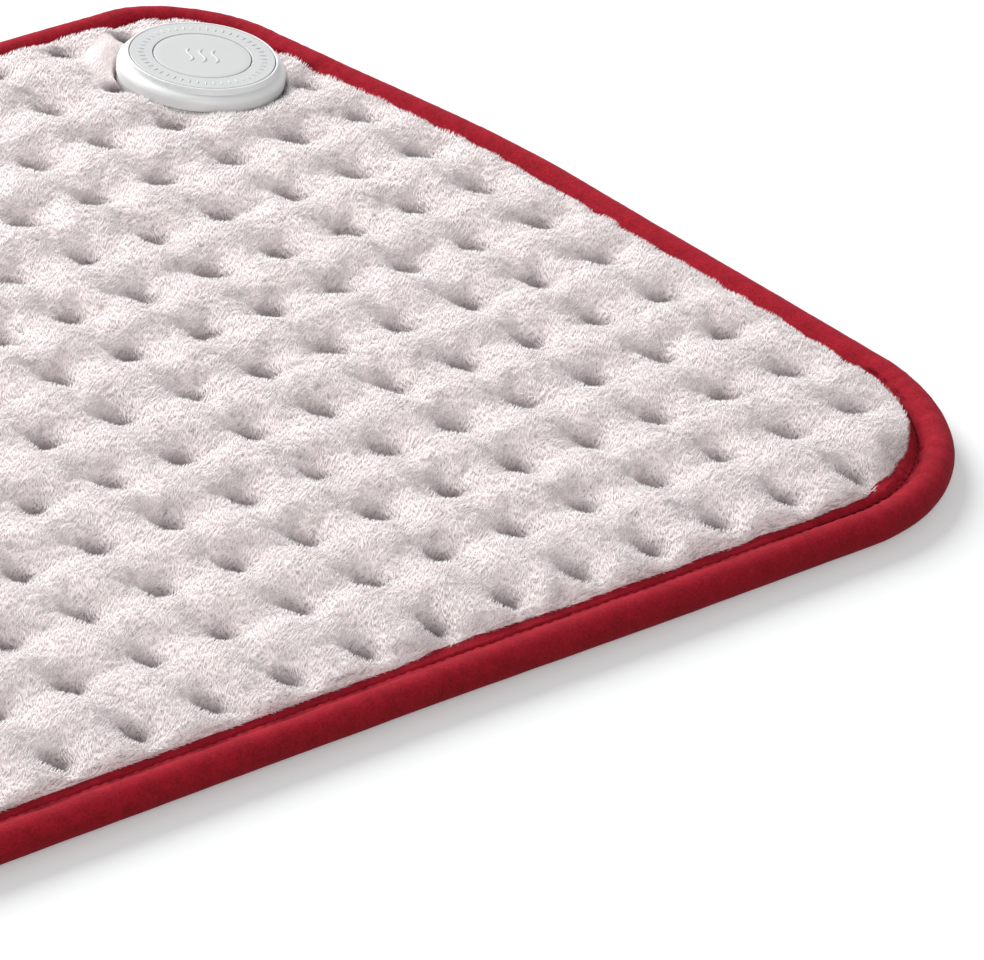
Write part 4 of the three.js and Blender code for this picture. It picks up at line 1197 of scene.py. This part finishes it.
def pile_tree():
    """Tufts spread over a mesh, combed one way over its own slope."""
    tree, entry = group_tree(
        "Combed pile",
        [
            ("Density", "Float", TUFTS_ON_SQUARE_METRE),
            ("Tuft length", "Float", 0.0018),
            ("Tuft width", "Float", 0.0003),
            ("Comb", "Vector", (1.9, 1.3, 0.0)),
            ("Stray", "Float", 0.35),
            ("Swirl", "Float", 2.6),
            ("From X", "Float", -1.0),
            ("To X", "Float", 1.0),
            ("Seed", "Int", 1),
            ("Tuft", "Material", None),
        ],
    )
    place = add_node(tree, "GeometryNodeInputPosition").outputs["Position"]
    axes = add_node(tree, "ShaderNodeSeparateXYZ", {"Vector": place}).outputs
    share = add_node(tree, "GeometryNodeInputNamedAttribute", {"Name": "pile"})
    after = arithmetic(tree, "GREATER_THAN", axes["X"], entry["From X"])
    before = arithmetic(tree, "LESS_THAN", axes["X"], entry["To X"])
    density = entry["Density"]
    for part in (after, before, share.outputs["Attribute"]):
        density = arithmetic(tree, "MULTIPLY", density, part)
    spread = add_node(
        tree,
        "GeometryNodeDistributePointsOnFaces",
        {"Mesh": entry["Geometry"], "Density": density, "Seed": entry["Seed"]},
    ).outputs
    # Each tuft leans along the comb, strays a little and follows slow swirls
    normal = spread["Normal"]
    chance = add_node(
        tree, "FunctionNodeRandomValue", {"data_type": "FLOAT_VECTOR", "Seed": entry["Seed"]}
    )
    swirl = add_node(tree, "ShaderNodeTexNoise", {"Scale": 160.0, "Detail": 1.0})
    upright = vectors(tree, "PROJECT", entry["Comb"], normal)
    way = vectors(tree, "ADD", normal, vectors(tree, "SUBTRACT", entry["Comb"], upright))
    for drawn, size in (
        (chance.outputs[0], entry["Stray"]),
        (swirl.outputs["Color"], entry["Swirl"]),
    ):
        centred = vectors(tree, "SUBTRACT", drawn, (0.5, 0.5, 0.5))
        way = vectors(tree, "ADD", way, scaled(tree, centred, size))
    turn = add_node(tree, "FunctionNodeAlignRotationToVector", {"axis": "Z", "Vector": way})
    cone = add_node(
        tree,
        "GeometryNodeMeshCone",
        {"Vertices": 3, "Radius Top": 0.0, "Radius Bottom": 0.5, "Depth": 1.0},
    )
    tipped = add_node(
        tree,
        "GeometryNodeStoreNamedAttribute",
        {"Name": "tip", "Geometry": cone.outputs["Mesh"], "Value": axes["Z"]},
    )
    repeat_on_points(
        tree,
        spread["Points"],
        tipped.outputs["Geometry"],
        turn.outputs["Rotation"],
        (entry["Tuft width"], entry["Tuft width"], entry["Tuft length"]),
        entry["Tuft"],
    )
    return tree


class HEATPAD_OT_pile(bpy.types.Operator):
    """Model the combed pile that stands on the plush cover"""

    bl_idname = "heat_pad.pile"
    bl_label = "Pile"

    def execute(self, context):
        s = sizes()
        cover = bpy.data.objects["plush_cover"]
        tree = pile_tree()
        ends = np.linspace(-HALF_LENGTH, HALF_LENGTH, PILE_PIECES + 1) * MM
        for index, (start, end) in enumerate(zip(ends[:-1], ends[1:]), 1):
            pile = new_object(f"plush_pile_{index}", cover.data.copy())
            run_group(
                pile,
                tree,
                density=TUFTS_ON_SQUARE_METRE,
                tuft_length=s.tuft_length * MM,
                tuft_width=s.tuft_width * MM,
                from_x=start,
                to_x=end,
                seed=index,
                tuft=finishes()["tufts"],
            )
            settle(shade_smooth(pile), "root", "plush")
        return {"FINISHED"}


# The rolled edge

EDGE_STEP = 1.6
CORE_STEP = 4.0
CORE_SIDES = 16
SEAM_STEP = 2.0
SEAM_HEIGHT_ON_EDGE = 6.78
ROLL_ANGLES = range(-68, 152, 10)  # round the outside of the roll, in degrees
TAPE_THICKNESS = 0.95
HEM_BURIED = 2.6  # how far the hem runs in under the plush
GROOVE_POINTS = 10
INNER_POINTS = 15


def edge_shape(place, along, curve, s):
    """The tape's section at one station of the edge, as (outward, height) points.

    The first run goes round the outside, from under the hem to the plush, and the second runs
    back along the tape's inner face."""
    x, y = place
    slow = noise_in_plan(place, 0.022, 3.0)
    mid = noise_in_plan(place, 0.09, 9.0)
    fast = noise_in_plan(place, 0.28, 17.0)
    fine = noise_in_plan(place, 0.7, 29.0)
    stitch = math.cos(2 * math.pi * along / s.stitch_length)
    radius = ROLL_RADIUS + 0.10 * slow + 0.10 * mid - 0.12
    near = near_side(x, y)
    curve = min(1.0, 2 * curve)
    seam = -ROLL_RADIUS - s.seam_width / 2 + 0.35 * mid + 0.25 * fast - 0.5 * near - 0.3 * curve
    depth = 1.0 + 0.15 * stitch + 0.3 * fast + 1.2 * curve
    gape = 0.34 + 0.10 * fast + 0.10 * fine + curve * (1.3 + 1.0 * fine)
    hem_end = -ROLL_RADIUS - s.seam_width - s.hem_width - HEM_BURIED
    hem_top = HEM_TOP + 0.12 * mid
    outer = [(hem_end, 0.0), (-3.0, 0.0), (0.6, 0.0)]
    for degrees in ROLL_ANGLES:
        angle = math.radians(degrees)
        crown = smooth((degrees - 20) / 100)
        pucker = crown * (0.14 * fast + 0.05 * stitch + (0.08 + 0.35 * curve) * fine)
        flat = (0.15 + 0.4 * near) * math.exp(-(((degrees + 50) / 26) ** 2))
        reach = radius + pucker - flat
        outer.append((reach * math.cos(angle), max(ROLL_RADIUS + reach * math.sin(angle), 0.0)))
    outer += [
        (seam + gape + 0.15, HEM_TOP - 0.15 * stitch),
        (seam + 0.5 * gape, HEM_TOP - 0.6 * depth),
        (seam, HEM_TOP - depth),
        (seam - 0.5 * gape, HEM_TOP - 0.7 * depth),
        (seam - gape - 0.12, hem_top - 0.12),
        (seam - gape - 0.55, hem_top + 0.06),
        (hem_end + 0.9, hem_top + 0.08),
        (hem_end + 0.3, hem_top),
        (hem_end, hem_top - 0.3),
        (hem_end, 6.02),
    ]
    inside = ROLL_RADIUS - TAPE_THICKNESS
    top_angle = 180 - math.degrees(math.asin((6.0 - ROLL_RADIUS) / inside))
    low_angle = -180 + math.degrees(math.asin((ROLL_RADIUS - 1.0) / inside))
    inner = []
    for degrees in np.linspace(top_angle, low_angle, INNER_POINTS - 1):
        angle = math.radians(degrees)
        inner.append((inside * math.cos(angle), ROLL_RADIUS + inside * math.sin(angle)))
    inner.append((hem_end, 1.0))
    return outer + inner


def underside_shade_share():
    """For each point of a section, how far it faces outward and down, as its share of the painted
    shade on the roll.
    """
    share = [float(smooth((78 - degrees) / 75)) for degrees in (-90, -90, -80, *ROLL_ANGLES)]
    return share + [0.0] * (GROOVE_POINTS + INNER_POINTS)


def corner_share(normals):
    """0 on the straight sides, 1 on the roundest corner."""
    turn = np.linalg.norm(np.roll(normals, -2, 0) - np.roll(normals, 2, 0), axis=1)
    wide = np.convolve(np.concatenate([turn[-20:], turn, turn[:20]]), np.ones(41) / 41, "valid")
    return np.clip(wide / wide.max(), 0, 1)


def edge_tape(s):
    """The red tape round the whole pad, as one closed tube with its own inner face."""
    places, normals = outline(ROLL_RADIUS, EDGE_STEP, s)
    curve = corner_share(normals)
    points = []
    for index, (place, normal) in enumerate(zip(places, normals)):
        section = edge_shape(place, index * EDGE_STEP, curve[index], s)
        points += [(*(place + normal * outward), height) for outward, height in section]
    tape = make_piece("edge_roll", points, ring_walls(len(places), len(section)), "red_tape")
    # The side mark carries the painted shade on the roll's outer, lower side
    mark_points(tape, "side", np.tile(underside_shade_share(), len(places)))
    return tape


def edge_core(s):
    """The round foam core inside the roll."""
    places, normals = outline(ROLL_RADIUS, CORE_STEP, s)
    radius = ROLL_RADIUS - 1.2
    points = []
    for place, normal in zip(places, normals):
        dent = 1 + 0.02 * noise_in_plan(place, 0.2, 1.0)
        for side in range(CORE_SIDES):
            angle = 2 * math.pi * side / CORE_SIDES
            out = radius * dent * math.cos(angle)
            points.append((*(place + normal * out), ROLL_RADIUS + radius * dent * math.sin(angle)))
    return make_piece("roll_core", points, ring_walls(len(places), CORE_SIDES), "foam")


def stitch_tree():
    """Threads laid end to end along a curve."""
    tree, entry = group_tree(
        "Seam stitches",
        [
            ("Pitch", "Float", 0.0032),
            ("Thread length", "Float", 0.0026),
            ("Thread width", "Float", 0.0006),
            ("Thread", "Material", None),
        ],
    )
    values = {"mode": "LENGTH", "Curve": entry["Geometry"], "Length": entry["Pitch"]}
    spread = add_node(tree, "GeometryNodeCurveToPoints", values).outputs
    size = (entry["Thread width"], entry["Thread width"], entry["Thread length"])
    bead = bead_of(tree, 8, 5)
    repeat_on_points(tree, spread["Points"], bead, spread["Rotation"], size, entry["Thread"])
    return tree


def seam_curve(s):
    """The line of the groove between the roll and the hem, as a closed curve."""
    places, normals = outline(ROLL_RADIUS, SEAM_STEP, s)
    curve = bpy.data.curves.new("seam_stitches", "CURVE")
    curve.dimensions = "3D"
    spline = curve.splines.new("POLY")
    spline.points.add(len(places) - 1)
    spline.use_cyclic_u = True
    for point, place, normal in zip(spline.points, places, normals):
        mid = noise_in_plan(place, 0.09, 9.0)
        x, y = place + normal * (-ROLL_RADIUS - s.seam_width / 2 + 0.22 * mid)
        point.co = (x * MM, y * MM, SEAM_HEIGHT_ON_EDGE * MM, 1)
    return new_object("seam_stitches", curve)


class HEATPAD_OT_edge(bpy.types.Operator):
    """Model the red rolled edge, its foam core and its seam"""

    bl_idname = "heat_pad.edge"
    bl_label = "Rolled edge"

    def execute(self, context):
        s = sizes()
        tape = settle(edge_tape(s), "root", "red_tape", "edge_tape")
        core = settle(edge_core(s), "root", "foam", "edge_core")
        seam = run_group(
            seam_curve(s),
            stitch_tree(),
            pitch=s.stitch_length * MM,
            thread_length=0.8 * s.stitch_length * MM,
            thread_width=0.56 * MM,
            thread=finishes()["thread"],
        )
        settle(seam, "root", "red_tape")
        return {"FINISHED"}


# The back and the layers inside

BACK_DENT = 0.5
BACK_DENT_RADIUS = 2.6
BACK_RIPPLE = 0.04

# Each inner layer's CAD node, slot, rounding and fill
LAYERS = {
    "carrier_felt": ("wire_carrier", "felt", 0.1, 0.1),
    "quilt_wadding": ("wadding", "fibre_fill", 0.15, 0.6),
}


def back_sheet(s, spacing):
    """The back cloth with a shallow dent under each dimple, as a thin closed slab."""
    border, _ = outline(HALF_LENGTH - BACK_HIGH[0], spacing, s)
    flat, triangles = plan_mesh(border, None, spacing, s)
    dent = np.zeros(len(flat))
    for x, y in dimples(s):
        distance = np.hypot(flat[:, 0] - x, flat[:, 1] - y)
        dent += BACK_DENT * bell(distance, 0, BACK_DENT_RADIUS)
    wave = noise_at(np.column_stack([flat * 0.06, np.zeros(len(flat))]), 5.0)
    low = BACK_RIPPLE + dent + BACK_RIPPLE * np.abs(wave)
    high = np.full(len(flat), BACK_HIGH[2])
    points = np.vstack([np.column_stack([flat, low]), np.column_stack([flat, high])])
    shift = len(flat)
    faces = [tuple(reversed(face)) for face in triangles]
    faces += [tuple(corner + shift for corner in face) for face in triangles]
    loop = loop_order(flat, border)
    for a, b in zip(loop, loop[1:] + loop[:1]):
        faces.append((a, b, b + shift, a + shift))
    return make_piece("back_sheet", points, faces, "back_cloth")


class HEATPAD_OT_layers(bpy.types.Operator):
    """Model the back cloth, the felt carrier and the wadding"""

    bl_idname = "heat_pad.layers"
    bl_label = "Back and inner layers"

    def execute(self, context):
        s = sizes()
        back = back_sheet(s, s.quilt_pitch / CELLS_PER_PITCH)
        settle(back, "root", "back_cloth", "back_cover")
        for name, (node, slot, width, fill) in LAYERS.items():
            layer = softened_copy(name, node, slot, width)
            settle(layer, "root", slot, node)
        return {"FINISHED"}


# The control unit, measured from its foot

TURNED_STEPS = 160
BASE_HEIGHT = 5.0
BASE_FLOOR = 1.4
SEAM_HEIGHT = 5.3
RIM_ROUND = 2.0
RIM_HEIGHT = UNIT_TOP - 1.7
HOLLOW_STEPS = 12
LAND_RADIUS = 21.0
POCKET_RADIUS = 20.4
RING_RADIUS = 20.1
RING_SHELF = 10.1
BUTTON_RADIUS = 13.5
BUTTON_GAP = 0.3
BUTTON_ROUND = 0.22
BUTTON_DISH = 0.06
INLET_CLEARANCE = 0.3
CLAMP_CIRCLE = 10.5
CLAMP_ANGLES = (90, 210, 330)
BOARD_CIRCLE = 13.2
BOARD_ANGLES = (35, 145, 270)
POST_TOP = 2.9
WIRE_HOLES = ((-15, 2), (15, 2))
TICK_CIRCLE = 17.0
TICK_SIZE = (2.0, 0.5, 0.36)
MARK_TURN = math.radians(-42)
MARK_LENGTH = 8.4
MARK_SWING = 0.85
MARK_PITCH = 3.5
MARK_RADII = (0.42, 0.24)  # half a line's width and its height over the button
MARK_SIDES = 10
MARK_STEPS = 40


def on_circle(radius, degrees):
    """A place on the unit's floor plan."""
    angle = math.radians(degrees)
    return radius * math.cos(angle), radius * math.sin(angle)


def inlet_opening():
    """A block that cuts the opening of the supply inlet."""
    low, high = node_box("inlet_socket")
    low = low - UNIT_FOOT - INLET_CLEARANCE
    high = high - UNIT_FOOT + INLET_CLEARANCE
    high[1] = UNIT_RADIUS + 2
    return box("opening", low, high)


def unit_shell():
    """The upper casing: upright side, rounded rim, hollow step and the pocket of the face."""
    rim_radius = UNIT_RADIUS - RIM_ROUND
    hollow = []
    for step in range(1, HOLLOW_STEPS):
        t = step / HOLLOW_STEPS
        radius = (1 - t) ** 2 * rim_radius + (2 * t - t * t) * LAND_RADIUS
        hollow.append((radius, (1 - t * t) * RIM_HEIGHT + t * t * UNIT_TOP))
    profile = [
        (UNIT_RADIUS - 0.15, SEAM_HEIGHT),
        (UNIT_RADIUS, SEAM_HEIGHT + 0.15),
        *arc(rim_radius, RIM_HEIGHT - RIM_ROUND, RIM_ROUND, 0, 90, 10),
        *hollow,
        (LAND_RADIUS - 0.05, UNIT_TOP - 0.06),
        (LAND_RADIUS - 0.15, UNIT_TOP),
        (POCKET_RADIUS + 0.08, UNIT_TOP),
        (POCKET_RADIUS, UNIT_TOP - 0.08),
        (POCKET_RADIUS, 9.8),
        (18.5, 9.8),
        (18.5, 8.5),
        (21.8, 8.5),
        (21.8, 6.3),
        (19.8, 6.3),
        (19.8, 4.3),
        (21.0, 4.3),
        (21.0, SEAM_HEIGHT),
    ]
    return lathe("unit_shell", profile, "white_plastic", TURNED_STEPS)


def unit_base():
    """The lower casing: a dish with screw bosses and board posts."""
    radius = UNIT_RADIUS - 0.4
    profile = [
        (0, 0),
        (radius - 0.8, 0),
        (radius - 0.2, 0.5),
        (radius, 0.9),
        (radius, BASE_HEIGHT - 0.12),
        (radius - 0.12, BASE_HEIGHT),
        (21.3, BASE_HEIGHT),
        (21.3, BASE_FLOOR),
        (0, BASE_FLOOR),
    ]
    dish = lathe("unit_base", profile, "white_plastic", TURNED_STEPS)
    posts = []
    bores = []
    for degrees in CLAMP_ANGLES:
        place = on_circle(CLAMP_CIRCLE, degrees)
        posts.append(cylinder("post", 2.3, place, 0.7, POST_TOP))
        bores.append(cylinder("bore", 1.45, place, -1, 4))
    for degrees in BOARD_ANGLES:
        place = on_circle(BOARD_CIRCLE, degrees)
        posts.append(cylinder("post", 2.1, place, 0.7, POST_TOP))
        bores.append(cylinder("bore", 1.1, place, BASE_FLOOR, 4))
    for place in WIRE_HOLES:
        bores.append(cylinder("bore", 1.05, place, -1, 4))
    carve(dish, posts, "UNION")
    return carve(dish, [*bores, inlet_opening()])


def face_ring():
    """The flat ring round the button, with a collar that locates it."""
    inner = BUTTON_RADIUS + BUTTON_GAP
    profile = [
        (17.0, 8.9),
        (18.2, 8.9),
        (18.2, RING_SHELF),
        (RING_RADIUS, RING_SHELF),
        (RING_RADIUS, UNIT_TOP - 0.12),
        (RING_RADIUS - 0.12, UNIT_TOP),
        (inner + 0.12, UNIT_TOP),
        (inner, UNIT_TOP - 0.12),
        (inner, RING_SHELF),
        (17.0, RING_SHELF),
    ]
    return lathe("face_plate", profile, "white_face", TURNED_STEPS)


def push_button():
    """The large press button, very slightly dished, with its skirt, flange and stem."""
    rim = (BUTTON_RADIUS - BUTTON_ROUND, UNIT_TOP - 0.24, BUTTON_ROUND)
    top = [(BUTTON_RADIUS, UNIT_TOP - 0.25), *arc(*rim, 0, 90, 5)]
    for share in (0.85, 0.65, 0.45, 0.25):
        top.append((share * BUTTON_RADIUS, UNIT_TOP - BUTTON_DISH * (1 - share**2)))
    profile = [
        (0, 8.2),
        (2.0, 8.2),
        (2.0, 10.0),
        (12.3, 10.0),
        (12.3, 9.0),
        (14.6, 9.0),
        (14.6, 9.8),
        (BUTTON_RADIUS, 9.8),
        *top,
        (0, UNIT_TOP - BUTTON_DISH),
    ]
    return lathe("push_button", profile, "white_face", TURNED_STEPS)


def tick_tree():
    """Small rounded bars set round a circle, each along its radius."""
    tree, entry = group_tree(
        "Ring of ticks",
        [
            ("Count", "Int", 48),
            ("Radius", "Float", 0.017),
            ("Tick length", "Float", 0.0020),
            ("Tick width", "Float", 0.0005),
            ("Tick height", "Float", 0.00036),
            ("Plastic", "Material", None),
        ],
    )
    values = {"Vertices": entry["Count"], "Radius": entry["Radius"]}
    circle = add_node(tree, "GeometryNodeMeshCircle", values).outputs["Mesh"]
    place = add_node(tree, "GeometryNodeInputPosition").outputs["Position"]
    face = add_node(tree, "FunctionNodeAlignRotationToVector", {"axis": "X", "Vector": place})
    size = (entry["Tick length"], entry["Tick width"], entry["Tick height"])
    bead = bead_of(tree, 12, 6)
    repeat_on_points(tree, circle, bead, face.outputs["Rotation"], size, entry["Plastic"])
    return tree


def ring_ticks(s):
    """An even ring of raised ticks on the face ring."""
    length, width, height = TICK_SIZE
    ticks = run_group(
        new_object("ring_ticks", bpy.data.meshes.new("ring_ticks")),
        tick_tree(),
        count=s.tick_count,
        radius=TICK_CIRCLE * MM,
        tick_length=length * MM,
        tick_width=width * MM,
        tick_height=height * MM,
        plastic=finishes()["white_face"],
    )
    place = Vector((UNIT_X, UNIT_Y, UNIT_Z + UNIT_TOP)) * MM
    ticks.data.transform(Matrix.Translation(place))
    return shade_smooth(ticks)


def heat_mark():
    """Three raised wavy lines, a plain sign for heat, on the button."""
    points = []
    faces = []
    cos, sin = math.cos(MARK_TURN), math.sin(MARK_TURN)
    upright = np.array([[cos, -sin], [sin, cos]])
    for line in (-1, 0, 1):
        start = len(points)
        for step in range(MARK_STEPS + 1):
            t = step / MARK_STEPS
            ease = max(min(1.0, 6 * t, 6 * (1 - t)) ** 0.5, 0.05)
            bend = line * MARK_PITCH + MARK_SWING * math.sin(t * 2 * math.pi)
            place = np.array([bend, (t - 0.5) * MARK_LENGTH])
            slope = MARK_SWING * 2 * math.pi / MARK_LENGTH * math.cos(t * 2 * math.pi)
            across = np.array([1, -slope]) / math.hypot(1, slope)
            for side in range(MARK_SIDES):
                angle = 2 * math.pi * side / MARK_SIDES
                out = MARK_RADII[0] * ease * math.cos(angle)
                up = MARK_RADII[1] * ease * math.sin(angle)
                px, py = upright @ (place + across * out)
                points.append((px, py, UNIT_TOP - BUTTON_DISH + up))
        for step in range(MARK_STEPS):
            here, there = start + step * MARK_SIDES, start + (step + 1) * MARK_SIDES
            for side in range(MARK_SIDES):
                after = (side + 1) % MARK_SIDES
                faces.append((here + side, here + after, there + after, there + side))
        faces.append(tuple(start + side for side in reversed(range(MARK_SIDES))))
        faces.append(tuple(start + MARK_STEPS * MARK_SIDES + k for k in range(MARK_SIDES)))
    mark = make_piece("heat_mark", np.array(points) + UNIT_FOOT, faces, "white_face")
    with opened(mark) as work:
        bmesh.ops.recalc_face_normals(work, faces=work.faces)
    return mark


class HEATPAD_OT_casing(bpy.types.Operator):
    """Model the control unit's casing and its face ring"""

    bl_idname = "heat_pad.casing"
    bl_label = "Control unit casing"

    def execute(self, context):
        shell = hard_shaded(carve(unit_shell(), [inlet_opening()]))
        settle(shell, "root", "white_plastic", "housing_shell")
        settle(hard_shaded(unit_base()), "root", "white_plastic", "housing_base")
        settle(hard_shaded(face_ring()), "root", "white_plastic", "face_ring")
        settle(ring_ticks(sizes()), "root", "white_plastic")
        return {"FINISHED"}


class HEATPAD_OT_button(bpy.types.Operator):
    """Model the press button and the heat mark on it"""

    bl_idname = "heat_pad.button"
    bl_label = "Press button"

    def execute(self, context):
        button = hard_shaded(push_button())
        settle(button, "button", "white_plastic", "press_button")
        settle(heat_mark(), "button", "white_plastic")
        return {"FINISHED"}


class HEATPAD_OT_inlet(bpy.types.Operator):
    """Round the edges of the supply inlet and its contacts"""

    bl_idname = "heat_pad.inlet"
    bl_label = "Supply inlet"

    def execute(self, context):
        inlet = softened_copy("supply_inlet", "inlet_socket", "black_plastic", 0.18)
        settle(inlet, "root", "black_plastic", "inlet_socket")
        for index in (1, 2, 3):
            pin = softened_copy(f"contact_{index}", f"inlet_pin_{index}", "brass", 0.08)
            settle(pin, "root", "brass", f"inlet_pin_{index}")
        return {"FINISHED"}


class HEATPAD_OT_spring(bpy.types.Operator):
    """Model the spring that the button presses down"""

    bl_idname = "heat_pad.spring"
    bl_label = "Return spring"

    def execute(self, context):
        spring = hard_shaded(softened_copy("coil_spring", "return_spring", "steel", 0.05), 80)
        settle(spring, "root", "steel", "return_spring")
        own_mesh(spring)
        return {"FINISHED"}


INNER_SLOTS = {
    "heating_wire": "silicone",
    "thermal_cutout": "steel",
    "clamp_plate": "grey_plastic",
    "circuit_board": "board",
    "key_switch": "black_plastic",
    "switch_plunger": "grey_plastic",
    "control_chip": "black_plastic",
    "triac": "black_plastic",
    "capacitor": "grey_plastic",
    "fuse": "steel",
    "clamp_screw": "steel",
    "board_screw": "steel",
    "lead_terminal": "brass",
}


class HEATPAD_OT_inner(bpy.types.Operator):
    """Finish the wires, the board and the other parts inside"""

    bl_idname = "heat_pad.inner"
    bl_label = "Wires and electronics"

    def execute(self, context):
        for name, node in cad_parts.items():
            for start, slot in INNER_SLOTS.items():
                if name.startswith(start):
                    node.data.materials.clear()
                    node.data.materials.append(finishes()[slot])
        return {"FINISHED"}


# The studio


def floor_material():
    """A white floor that keeps its shadow and shows white to the camera."""
    material, tree, shader = start_material("studio_floor")
    floor = {"Base Color": FLOOR_COLOUR, "Roughness": 0.9, "Specular IOR Level": 0.0}
    fit(tree, shader, floor)
    path = tree.nodes.new("ShaderNodeLightPath")
    glow = add_node(tree, "ShaderNodeEmission", {"Color": (1, 1, 1, 1), "Strength": FLOOR_GLOW})
    none = add_node(tree, "ShaderNodeEmission", {"Strength": 0.0})
    seen = add_node(
        tree,
        "ShaderNodeMixShader",
        {
            "Fac": path.outputs["Is Camera Ray"],
            1: none.outputs["Emission"],
            2: glow.outputs["Emission"],
        },
    )
    parts = {0: shader.outputs["BSDF"], 1: seen.outputs["Shader"]}
    both = add_node(tree, "ShaderNodeAddShader", parts)
    fit(tree, tree.nodes["Material Output"], {"Surface": both.outputs["Shader"]})
    return material


def studio_world():
    """A dim white surround that is full white to the camera and in reflections."""
    world = bpy.data.worlds.new("studio")
    bpy.context.scene.world = world
    world.use_nodes = True
    tree = world.node_tree
    tree.nodes.clear()
    path = tree.nodes.new("ShaderNodeLightPath").outputs
    fill = add_node(
        tree, "ShaderNodeBackground", {"Color": FILL_COLOUR, "Strength": FILL_STRENGTH}
    )
    shown = add_node(tree, "ShaderNodeBackground", {"Color": (1, 1, 1, 1), "Strength": 1.0})
    seen = arithmetic(tree, "MAXIMUM", path["Is Camera Ray"], path["Is Glossy Ray"])
    seen = arithmetic(tree, "MAXIMUM", seen, path["Is Transmission Ray"])
    parts = {"Fac": seen, 1: fill.outputs["Background"], 2: shown.outputs["Background"]}
    mix = add_node(tree, "ShaderNodeMixShader", parts)
    add_node(tree, "ShaderNodeOutputWorld", {"Surface": mix.outputs["Shader"]})


def add_lamp(name, way, distance, size, power):
    """An area lamp that stands in a direction from the pad and faces it."""
    lamp = bpy.data.lights.new(name, "AREA")
    lamp.shape = "DISK"
    lamp.size = size
    lamp.energy = power
    holder = new_object(name, lamp)
    holder.location = way * distance
    holder.rotation_euler = way.to_track_quat("Z", "Y").to_euler()


class HEATPAD_OT_studio(bpy.types.Operator):
    """Set up the floor, the light and the photograph's camera"""

    bl_idname = "heat_pad.studio"
    bl_label = "Studio"

    def execute(self, context):
        scene = context.scene
        scene.view_settings.view_transform = "Standard"
        studio_world()
        floor_mesh = bpy.data.meshes.new("studio_floor")
        half = FLOOR_HALF_WIDTH
        corners = [(-half, -half, 0), (half, -half, 0), (half, half, 0), (-half, half, 0)]
        floor_mesh.from_pydata(corners, [], [(0, 1, 2, 3)])
        floor_mesh.materials.append(floor_material())
        new_object("studio_floor", floor_mesh)
        right, up, back = (Vector(v) for v in (CAMERA_RIGHT, CAMERA_UP, CAMERA_BACK))
        for name, (share, distance, size, power) in LAMPS.items():
            way = share[0] * right + share[1] * up + share[2] * back
            add_lamp(name, way.normalized(), distance, size, power)
        camera = bpy.data.cameras.new("photo_camera")
        camera.sensor_fit = "HORIZONTAL"
        camera.lens = CAMERA_FOCAL_PIXELS * camera.sensor_width / PHOTO_WIDTH_PIXELS
        camera.clip_start = CAMERA_NEAREST
        camera.clip_end = CAMERA_FARTHEST
        scene.camera = new_object("photo_camera", camera)
        axes = Matrix((right, up, back)).transposed().to_4x4()
        scene.camera.matrix_world = Matrix.Translation(CAMERA_PLACE) @ axes
        return {"FINISHED"}


OPERATORS = (
    HEATPAD_OT_studio,
    HEATPAD_OT_plush,
    HEATPAD_OT_pile,
    HEATPAD_OT_edge,
    HEATPAD_OT_layers,
    HEATPAD_OT_casing,
    HEATPAD_OT_button,
    HEATPAD_OT_inlet,
    HEATPAD_OT_spring,
    HEATPAD_OT_inner,
)


class HEATPAD_PT_panel(bpy.types.Panel):
    """Lists the steps that build the heating pad"""

    bl_idname = "HEATPAD_PT_panel"
    bl_label = "Heating Pad"
    bl_space_type = "VIEW_3D"
    bl_region_type = "UI"
    bl_category = "Heating Pad"

    def draw(self, context):
        for operator in OPERATORS:
            self.layout.operator(operator.bl_idname)
        for group in (context.scene.heat_pad_sizes, context.scene.heat_pad_colours):
            column = self.layout.column()
            for key in group.bl_rna.properties.keys():
                if key not in ("rna_type", "name"):
                    column.prop(group, key)


CLASSES = (HeatPadSizes, HeatPadColours, *OPERATORS, HEATPAD_PT_panel)


def register():
    for item in CLASSES:
        bpy.utils.register_class(item)
    bpy.types.Scene.heat_pad_sizes = PointerProperty(type=HeatPadSizes)
    bpy.types.Scene.heat_pad_colours = PointerProperty(type=HeatPadColours)


def unregister():
    del bpy.types.Scene.heat_pad_colours
    del bpy.types.Scene.heat_pad_sizes
    for item in reversed(CLASSES):
        bpy.utils.unregister_class(item)


def main():
    register()
    for operator in OPERATORS:
        module, call = operator.bl_idname.split(".")
        getattr(getattr(bpy.ops, module), call)()


if __name__ == "__main__":
    main()
